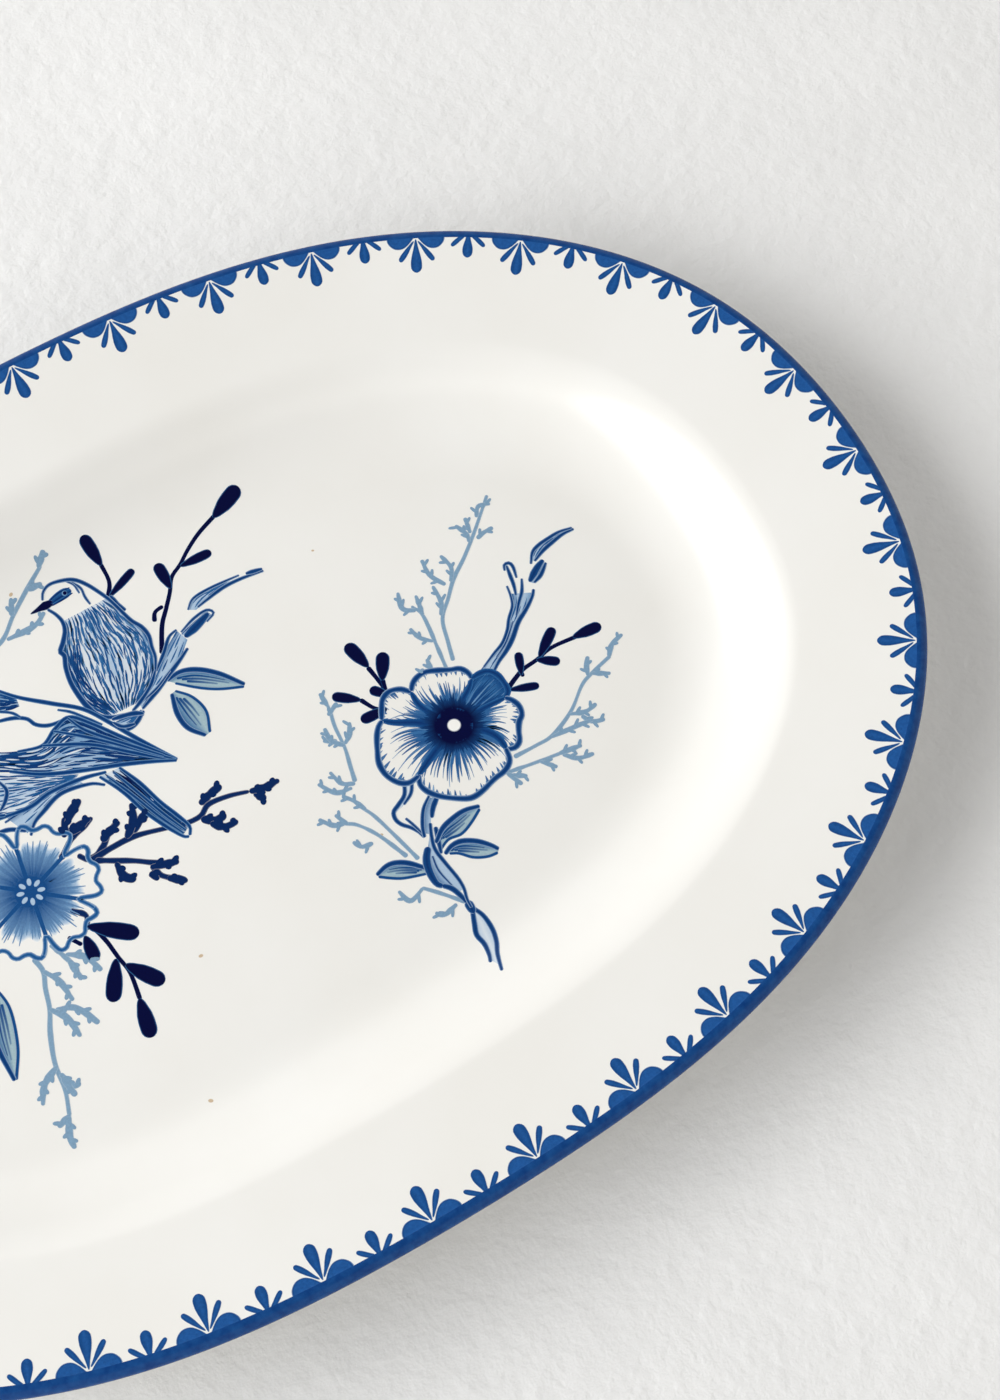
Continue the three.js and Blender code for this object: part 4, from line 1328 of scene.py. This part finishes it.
LEAVES = {
    "pansy_leaves": (
        ([(38.6, -38.6), (42, -36.2), (46, -35.2), (49, -35.1), (52.4, -36)],
         [(38.4, -40.8), (41.6, -39.4), (45, -39.8), (48.4, -38.6), (52, -36.6)]),
        ([(39, -42.2), (41.4, -41.2), (44, -41.4), (47, -43.2), (49.4, -45.8), (50.6, -47.8)],
         [(40, -42.6), (42, -43.8), (44.4, -46.4), (47.4, -48), (50, -48.4)]),
        ([(33.6, -43.2), (30.6, -39.8), (28, -38), (25.5, -37.5), (22.4, -38.3)],
         [(33, -44.2), (30, -43.2), (27, -42), (24.6, -40.4), (22.6, -38.8)]),
    ),
    "bird_leaves": (
        ([(4, 32), (8, 32.4), (12, 30.6), (16, 26.8), (19.8, 21.2)],
         [(5.4, 30.4), (9, 27), (12, 24.6), (15, 22.8), (19.4, 20.8)]),
        ([(3.4, 28.4), (2, 23), (2.4, 18.4), (5.2, 14.4)],
         [(4.4, 28.6), (7.2, 25), (8.3, 20), (6.4, 14.6)]),
        ([(-68, -15), (-71.4, -20), (-74, -28), (-74.4, -38)],
         [(-68, -15.4), (-67.4, -22), (-70, -31), (-74, -38)]),
    ),
}
BRANCHES = {
    "pansy_branch": (
        (
            ([(71, -5.6), (75, -3.8), (79, -2.3), (82, 0.2), (84, 2.6), (86.5, 5), (88, 8)],
             [(73.6, -7.4), (76, -5.8), (79, -4.4), (82, -2.4), (85.5, 0.6), (89, 2.6), (92.6, 5.6)]),
            ([(93.4, 8.6), (96.4, 10.8), (99, 12)], [(94.2, 7.6), (97, 8.8), (99.6, 10.4)]),
            ([(96.6, 12.6), (99, 15.4), (103, 16.2), (108, 16)],
             [(98, 13), (101, 14), (105, 14.9), (109, 15.4)]),
        ),
        (
            ([(73.6, -7.6), (76, -6), (79, -4.5), (82, -2.5), (85.5, 0.5), (89, 2.5), (92, 4.6),
              (93.4, 6.2)], 1.2),
            ([(72, -5.4), (76, -3.6), (79.2, -2.3), (82, 0), (84, 2.5), (86.5, 5), (87.6, 7.6),
              (88.2, 10.4)], 0.8),
            ([(91, 15.2), (90.4, 12.5), (89.8, 9.8), (88.8, 7)], 0.9),
            ([(89.9, 14.2), (90.6, 15.6), (91.9, 15.5), (92.2, 14), (91.4, 11)], 0.8),
            ([(92.4, 10.2), (90.6, 7.2), (88.4, 5), (86, 2.2)], 0.8),
            ([(76, -4.8), (80, -2.6), (84.6, 1.4)], 0.5),
            ([(93.6, 8.4), (97, 10.6), (99.6, 11.8)], 1.8),
            ([(94.4, 7.6), (97, 8.6), (99.8, 10.8)], 1.0),
            ([(96.4, 12.4), (98.5, 15), (101, 15.9), (104, 16.2), (107, 16.3), (110.4, 15.6)], 0.9),
            ([(97.6, 12.6), (101, 14), (104, 14.7), (107.4, 15.3), (110.6, 15.1)], 1.0),
        ),
    ),
    "bird_branch": (
        (
            ([(-4.5, 30.6), (1, 33.6), (5, 37), (8.6, 40), (12.5, 42.6)],
             [(-4.8, 28.2), (0, 30.6), (5, 32.8), (9, 35), (13.6, 39)]),
            ([(-12, 29), (-8.4, 28.6), (-5, 28.6)], [(-11.4, 26), (-8, 26), (-5, 27)]),
            ([(13, 41.2), (17, 42.4), (21.4, 43.4)], [(13.8, 39.6), (17.6, 40.4), (22, 41.6)]),
            ([(17.6, 46), (20, 48), (24.4, 48.2), (29, 48)],
             [(19.4, 45), (23, 46), (28, 46.8), (32, 46.6)]),
            ([(-46, 20.4), (-40, 20.6), (-34, 21.4), (-27, 20.6)],
             [(-43.6, 14.6), (-38, 17.2), (-32, 19.2), (-26, 18.6)]),
        ),
        (
            ([(-4.6, 28.6), (0, 30.6), (4, 32.6), (9, 35), (12.6, 37)], 1.2),
            ([(3, 35.6), (7, 39), (10, 42), (12.6, 42.8)], 0.9),
            ([(-4, 30.2), (1, 31.6), (6, 34)], 0.6),
            ([(13.4, 40), (17, 41), (21.5, 42.6)], 2.2),
            ([(13.2, 41.6), (17.6, 43.2), (21.4, 43.6), (22.6, 42), (20, 40.8)], 0.7),
            ([(17.6, 46), (20, 48), (24, 48.4), (29, 48.1), (33, 47.7)], 0.7),
            ([(20, 45.4), (23, 46), (28, 46.8), (33, 46.6), (38.8, 45.6)], 0.9),
            ([(34.6, 47.2), (38.8, 46.2)], 1.1),
            ([(-11.6, 25.6), (-8, 26), (-4.6, 28)], 1.2),
            ([(-47, 19.8), (-40, 20.5), (-34, 21.4), (-28, 20.8)], 0.8),
            ([(-43.2, 13.6), (-41, 16), (-38, 17.4), (-32, 19.4), (-25, 18), (-21.8, 15.8)], 1.1),
            ([(-50, 18.6), (-46.4, 17.4), (-43.6, 15.2)], 1.1),
            ([(-46.6, 23), (-44.4, 24.6), (-42.8, 27), (-43.4, 30)], 1.0),
            ([(-86, 20), (-90, 26), (-94, 27.6)], 1.2),
            ([(-90, 26), (-90.4, 32)], 0.8),
            ([(-88, 22.4), (-95, 22.8)], 0.8),
        ),
    ),
}
SPECKS = (
    (-23, -34, 0.45), (-38, -66, 0.5), (-18, 71.7, 0.45), (28.6, -30, 0.35), (52, 44, 0.3), (-61, 9, 0.3)
)


# ---- Sizes and colours ---------------------------------------------------------------------------
def length_property(name, description, default):
    """A length in metres that a user can change."""
    kind = {"min": 0, "precision": 5, "subtype": "DISTANCE", "unit": "LENGTH"}
    return FloatProperty(name=name, description=description, default=default, **kind)


def share_property(name, description, default):
    """A plain number that a user can change."""
    return FloatProperty(name=name, description=description, default=default, subtype="FACTOR")


def colour_property(name, description, hex_colour):
    """An ink colour that a user can change."""
    return FloatVectorProperty(
        name=name, description=description, default=linear(hex_colour), min=0, max=1, size=3, subtype="COLOR"
    )


class PlatterSizes(bpy.types.PropertyGroup):
    """Sizes of the oval, its section and its border."""

    length: length_property("Length", "Tip to tip", CAD_BOX[1].x - CAD_BOX[0].x)
    width: length_property("Width", "Side to side", CAD_BOX[1].y - CAD_BOX[0].y)
    fullness: share_property("Fullness", "How much fuller than an ellipse the oval is", 0.048)
    side_draw: share_property("Side draw", "Moves the long sides' fullness to the tips", -0.027)
    flange_width: length_property("Flange", "Edge to shoulder", 35 * MM)
    flange_rise: length_property("Flange rise", "Shoulder up to the edge", 5 * MM)
    shoulder: length_property("Shoulder", "Half width of the rounding at the shoulder", 5 * MM)
    cavetto_width: length_property("Cavetto", "Shoulder to the flat of the well", 28 * MM)
    cavetto_depth: length_property("Well depth", "Shoulder down to the flat of the well", 12 * MM)
    wall: length_property("Wall", "Thickness of the flange and cavetto", 3.8 * MM)
    floor_thickness: length_property("Floor", "Thickness of the well's floor", 4.5 * MM)
    foot_height: length_property("Foot height", "Height of the foot ring", 3 * MM)
    foot_width: length_property("Foot width", "Bearing face of the foot ring", 3.5 * MM)
    foot_overhang: length_property("Overhang", "Edge to the outer face of the foot ring", 60 * MM)
    glaze: length_property("Glaze build-up", "Top of the glaze over the china", 0.45 * MM)
    line_width: length_property("Edge line", "Edge to the inner side of the cobalt line", 2.75 * MM)
    border_repeats: IntProperty(
        name="Border repeats", description="Large sprigs round the platter", default=36, min=8, max=90
    )
    border_start: share_property("Border start", "First large sprig past the tip, in repeats", 0.63)


class PlatterInks(bpy.types.PropertyGroup):
    """Colours of the printed decoration."""

    ground: colour_property("Ground", "The glaze between the strokes", "#f5f4f0")
    navy: colour_property("Navy", "Buds and the heart of the pansy", "#040938")
    deep: colour_property("Deep blue", "The heart of an outline", "#0c336c")
    outline: colour_property("Outline blue", "Outlines and dense hatching", "#174a84")
    mid: colour_property("Mid blue", "Hatching and blossom outlines", "#33699f")
    light: colour_property("Light blue", "Faint hatching", "#7199c0")
    wash: colour_property("Wash", "Thin washes on stalks and plumage", "#abc2d9")
    leaf: colour_property("Leaf wash", "Light side of a leaf", "#a3bcc4")
    leaf_shade: colour_property("Leaf shade", "Dark side of a leaf", "#5782a8")
    pale: colour_property("Pale blue", "Twigs behind the sprays", "#7f9fba")
    border: colour_property("Border blue", "Body of the border print", "#215596")
    border_edge: colour_property("Border edge", "Where the border print pools at its edges", "#154581")


# ---- Operators -----------------------------------------------------------------------------------
class BuildChina(bpy.types.Operator):
    """Builds the pressed porcelain body with its lip and foot ring"""

    bl_idname = "platter.build_china"
    bl_label = "China body"

    def execute(self, context):
        oval = oval_of(context)
        section, s = Section(oval), oval.sizes
        outer, inner = s.foot_overhang, s.foot_overhang + s.foot_width
        draft = 0.9 * MM
        foot = rounded(
            [
                (outer - draft, s.foot_height),
                (outer - 0.3 * MM, 0.4 * MM),
                (outer + 0.9 * MM, 0),
                (inner - 0.9 * MM, 0),
                (inner + 0.3 * MM, 0.4 * MM),
                (inner + draft, s.foot_height),
                (section.floor_rim + 2 * MM, s.foot_height),
            ],
            0.6 * MM,
        )
        back = section.back(0, outer - draft - 0.5 * MM)
        places = np.r_[section.face(0), back[1:], foot]
        piece = swept_piece("pressed_china", places, oval, shared(biscuit_porcelain), closed=False)
        place_piece(piece, "bare_china", "china_body")
        return {"FINISHED"}


class BuildGlaze(bpy.types.Operator):
    """Builds the clear glaze over the face, the back and the recess inside the foot ring"""

    bl_idname = "platter.build_glaze"
    bl_label = "Glaze"

    def execute(self, context):
        oval = oval_of(context)
        section, s = Section(oval), oval.sizes
        inner = 0.1 * MM
        face = np.r_[section.face(s.glaze), section.face(inner)[::-1]]
        stop = s.foot_overhang - 1.5 * MM
        back = np.r_[section.back(s.glaze, stop), section.back(inner, stop)[::-1]]
        start = s.foot_overhang + s.foot_width + 1.6 * MM
        levels = (s.foot_height - inner, s.foot_height - s.glaze)
        rim = section.floor_rim + 6 * MM
        recess = rounded(
            [(rim, levels[0]), (start, levels[0]), (start, levels[1]), (rim, levels[1])], 0.15 * MM
        )
        made = (
            ("glaze_on_face", face, False, "face_glaze"),
            ("glaze_on_back", back, True, "back_glaze"),
            ("glaze_in_recess", recess, False, "foot_recess_glaze"),
        )
        for name, places, closed, node in made:
            piece = swept_piece(name, places, oval, shared(glazed_porcelain), closed)
            place_piece(piece, "clear_glaze", node)
        return {"FINISHED"}


class BuildEdgeLine(bpy.types.Operator):
    """Builds the cobalt line painted round the lip"""

    bl_idname = "platter.build_edge_line"
    bl_label = "Edge line"

    def execute(self, context):
        oval = oval_of(context)
        section, s = Section(oval), oval.sizes
        proud, sunk = s.glaze + 0.05 * MM, s.glaze - 0.06 * MM
        start = math.degrees(math.acos((s.line_width - section.lip[0]) / (s.wall / 2 + proud)))
        outer = section.around_lip(proud, start, 238, 20)
        edge = section.around_lip(s.glaze - 0.01 * MM, start - 2, 240, 2)
        inner = section.around_lip(sunk, 238, start, 20)
        places = np.r_[edge[:1], outer, edge[1:], inner]
        piece = swept_piece("cobalt_edge_line", places, oval, shared(cobalt_banding), closed=True)
        place_piece(piece, "cobalt_line", "edge_line")
        return {"FINISHED"}


class BuildBorder(bpy.types.Operator):
    """Builds the scalloped border print by repeating one unit round the oval"""

    bl_idname = "platter.build_border"
    bl_label = "Border"

    def execute(self, context):
        oval = oval_of(context)
        repeats = oval.sizes.border_repeats
        pitch = oval.girth / repeats
        unit = draw_border_unit(pitch / MM, ink_colours(context)).mesh("border_unit", oval, rolled=True)
        values = {
            "Repeats": repeats,
            "Pitch": pitch,
            "Start": pitch * oval.sizes.border_start,
            "Material": shared(fired_print, "cobalt_border", 0.7 * MM, 0.14),
        }
        mesh = run_tree("border", unit, border_tree(), oval, values)
        nodes = sorted(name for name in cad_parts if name.startswith("border_strip"))
        place_piece(link_mesh("border", mesh), "border_transfer", *nodes)
        return {"FINISHED"}


def print_pieces(context, drawings, node):
    """Lays drawings on the glaze as pieces of one spray."""
    oval = oval_of(context)
    for name, drawing in drawings.items():
        place_piece(link_mesh(name, drawing.mesh(name, oval), spray_ink()), "spray_transfer", node)


class BuildFlowers(bpy.types.Operator):
    """Builds the printed pansy and the two lobed blossoms"""

    bl_idname = "platter.build_flowers"
    bl_label = "Flowers"

    def execute(self, context):
        ink = ink_colours(context)
        print_pieces(context, {"pansy": draw_pansy(ink)}, "pansy_spray_transfer")
        blossoms = {
            "round_blossom": draw_blossom(ink, (-49.8, 1), 6, 16.2, math.radians(-40), 21),
            "small_blossom": draw_blossom(ink, (-78, 12), 5, 11.5, math.radians(15), 22),
        }
        print_pieces(context, blossoms, "bird_spray_transfer")
        return {"FINISHED"}


class BuildStalks(bpy.types.Operator):
    """Builds the printed stalk and branches"""

    bl_idname = "platter.build_stalks"
    bl_label = "Stalk and branches"

    def execute(self, context):
        ink = ink_colours(context)
        pansy = {
            "pansy_stalk": draw_pansy_stalk(ink),
            "pansy_branch": draw_branch(ink, *BRANCHES["pansy_branch"]),
        }
        print_pieces(context, pansy, "pansy_spray_transfer")
        print_pieces(
            context, {"bird_branch": draw_branch(ink, *BRANCHES["bird_branch"])}, "bird_spray_transfer"
        )
        return {"FINISHED"}


class BuildLeaves(bpy.types.Operator):
    """Builds the printed leaves of both sprays"""

    bl_idname = "platter.build_leaves"
    bl_label = "Leaves"

    def execute(self, context):
        ink = ink_colours(context)
        for name, leaves in LEAVES.items():
            drawing = Print(31)
            for upper, lower in leaves:
                draw_leaf(drawing, ink, upper, lower)
            print_pieces(context, {name: drawing}, name.replace("_leaves", "_spray_transfer"))
        return {"FINISHED"}


class BuildBuds(bpy.types.Operator):
    """Builds the navy buds of both sprays"""

    bl_idname = "platter.build_buds"
    bl_label = "Buds"

    def execute(self, context):
        ink = ink_colours(context)
        pansy = {"pansy_buds": draw_buds(ink, PANSY_BUD_STEMS, PANSY_BUDS)}
        print_pieces(context, pansy, "pansy_spray_transfer")
        bird = {"bird_buds": draw_buds(ink, BIRD_BUD_STEMS, BIRD_BUDS)}
        print_pieces(context, bird, "bird_spray_transfer")
        return {"FINISHED"}


class BuildTwigs(bpy.types.Operator):
    """Builds the pale twigs behind both sprays and the dark twigs beside the blossom"""

    bl_idname = "platter.build_twigs"
    bl_label = "Twigs"

    def execute(self, context):
        ink = ink_colours(context)
        pansy = {"pansy_pale_twigs": draw_twigs(ink, ink.pale, PALE_STEMS, PALE_SHOOTS)}
        print_pieces(context, pansy, "pansy_spray_transfer")
        dark = blend_colours(ink.navy, ink.deep, 0.6)
        bird = {
            "bird_pale_twigs": draw_twigs(ink, ink.pale, BIRD_PALE_STEMS, BIRD_PALE_SHOOTS, 1.0, 1.3),
            "bird_dark_twigs": draw_twigs(ink, dark, DARK_TWIGS, DARK_SHOOTS, 1.3, 1.8),
        }
        print_pieces(context, bird, "bird_spray_transfer")
        return {"FINISHED"}


class BuildBirds(bpy.types.Operator):
    """Builds the perched bird and the swooping bird"""

    bl_idname = "platter.build_birds"
    bl_label = "Birds"

    def execute(self, context):
        ink = ink_colours(context)
        birds = {"perched_bird": draw_perched_bird(ink), "swooping_bird": draw_swooping_bird(ink)}
        print_pieces(context, birds, "bird_spray_transfer")
        return {"FINISHED"}


class BuildSpecks(bpy.types.Operator):
    """Builds the few tan specks that fired into the glaze"""

    bl_idname = "platter.build_specks"
    bl_label = "Kiln specks"

    def execute(self, context):
        ink = ink_colours(context)
        drawing = Print(41)
        for x, y, radius in SPECKS:
            turn = drawing.random.uniform(0, math.pi)
            drawing.dot((x, y), radius, SPECK, ink.ground, lift=0.02, stretch=1.4, turn=turn)
        piece = link_mesh("kiln_specks", drawing.mesh("kiln_specks", oval_of(context)), shared(kiln_speck))
        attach(piece, BODY)
        return {"FINISHED"}


CAMERA_LENS = 74.41  # millimetres, on a sensor 36 mm wide
CAMERA_PLACE = (-0.0649, -0.2522, 0.658)
CAMERA_TURN = (22.80, 0.615, -31.24)  # degrees about X, Y and Z
WINDOW_PLACE = (-1.47, 0.5, 1.08)
WINDOW_SIZE = (3.4, 1.8)
WINDOW_WATTS = 82.0


class BuildStage(bpy.types.Operator):
    """Builds the pale floor, the soft studio light and the camera"""

    bl_idname = "platter.build_stage"
    bl_label = "Stage"

    def execute(self, context):
        scene = context.scene
        scene.view_settings.view_transform = "Standard"
        build_floor()
        build_lights()
        data = bpy.data.cameras.new("camera")
        data.lens = CAMERA_LENS
        data.sensor_width = 36
        camera = bpy.data.objects.new("camera", data)
        scene.collection.objects.link(camera)
        camera.location = CAMERA_PLACE
        camera.rotation_euler = Euler([math.radians(turn) for turn in CAMERA_TURN], "XYZ")
        scene.camera = camera
        return {"FINISHED"}


def build_floor():
    """A broad matt floor under the platter."""
    mesh = bpy.data.meshes.new("floor")
    floor = bmesh.new()
    bmesh.ops.create_grid(floor, x_segments=24, y_segments=24, size=1.6)
    floor.to_mesh(mesh)
    floor.free()
    link_mesh("floor", mesh, shared(painted_plaster))


def soft_edges(lamp, strength):
    """Fades a lamp's face towards its edges, as a curtained window fades."""
    lamp.use_nodes = True
    tree = lamp.node_tree
    emission = next(node for node in tree.nodes if node.type == "EMISSION")
    place = add_node(tree, "ShaderNodeNewGeometry")
    parts = add_node(tree, "ShaderNodeSeparateXYZ", {0: place.outputs["Parametric"]})
    value = strength
    for axis in ("X", "Y"):
        middle = add_node(tree, "ShaderNodeMath", {0: parts.outputs[axis], 1: 0.5}, operation="SUBTRACT")
        off = add_node(tree, "ShaderNodeMath", {0: middle.outputs[0]}, operation="ABSOLUTE")
        fade = add_node(
            tree,
            "ShaderNodeMapRange",
            {"Value": off.outputs[0], "From Min": 0.5, "From Max": 0.18},
            interpolation_type="SMOOTHSTEP",
        )
        value = add_node(
            tree, "ShaderNodeMath", {0: fade.outputs[0], 1: value}, operation="MULTIPLY"
        ).outputs[0]
    tree.links.new(value, emission.inputs["Strength"])


def build_lights():
    """A curtained window to the platter's left and a room whose walls are pale and whose ceiling is dim."""
    data = bpy.data.lights.new("window", "AREA")
    data.shape = "RECTANGLE"
    data.size, data.size_y = WINDOW_SIZE
    data.energy = WINDOW_WATTS
    data.color = (0.98, 0.99, 1.0)
    soft_edges(data, 1.0)
    lamp = bpy.data.objects.new("window", data)
    bpy.context.scene.collection.objects.link(lamp)
    lamp.location = WINDOW_PLACE
    lamp.rotation_euler = (-Vector(WINDOW_PLACE)).to_track_quat("-Z", "Y").to_euler()
    world = bpy.data.worlds.new("room")
    world.use_nodes = True
    tree = world.node_tree
    background = next(node for node in tree.nodes if node.type == "BACKGROUND")
    way = add_node(tree, "ShaderNodeTexCoord")
    parts = add_node(tree, "ShaderNodeSeparateXYZ", {0: way.outputs["Generated"]})
    walls = add_node(
        tree,
        "ShaderNodeMapRange",
        {"Value": parts.outputs["Z"], "From Min": 0.62, "From Max": 0.86, "To Min": 0.94, "To Max": 0.1},
        interpolation_type="SMOOTHSTEP",
    )
    tree.links.new(walls.outputs[0], background.inputs["Strength"])
    background.inputs["Color"].default_value = (1.0, 0.982, 0.955, 1)
    bpy.context.scene.world = world


OPERATORS = (
    BuildChina,
    BuildGlaze,
    BuildEdgeLine,
    BuildBorder,
    BuildFlowers,
    BuildStalks,
    BuildLeaves,
    BuildBuds,
    BuildTwigs,
    BuildBirds,
    BuildSpecks,
    BuildStage,
)


class PlatterPanel(bpy.types.Panel):
    """Sizes, ink colours and the steps that build the platter"""

    bl_idname = "VIEW3D_PT_platter"
    bl_label = "China platter"
    bl_space_type = "VIEW_3D"
    bl_region_type = "UI"
    bl_category = "Platter"

    def draw(self, context):
        layout = self.layout
        for group in (context.scene.platter_sizes, context.scene.platter_inks):
            column = layout.column(align=True)
            for name in group.__annotations__:
                column.prop(group, name)
        column = layout.column(align=True)
        for operator in OPERATORS:
            column.operator(operator.bl_idname)


CLASSES = (PlatterSizes, PlatterInks, *OPERATORS, PlatterPanel)


def register():
    """Registers the classes and hangs the sizes and inks on the scene."""
    for cls in CLASSES:
        bpy.utils.register_class(cls)
    bpy.types.Scene.platter_sizes = PointerProperty(type=PlatterSizes)
    bpy.types.Scene.platter_inks = PointerProperty(type=PlatterInks)


def unregister():
    """Takes the sizes, the inks and the classes away again."""
    del bpy.types.Scene.platter_inks
    del bpy.types.Scene.platter_sizes
    for cls in reversed(CLASSES):
        bpy.utils.unregister_class(cls)


def main():
    """Builds every piece in order."""
    register()
    for operator in OPERATORS:
        group, name = operator.bl_idname.split(".")
        getattr(getattr(bpy.ops, group), name)()


if __name__ == "__main__":
    main()
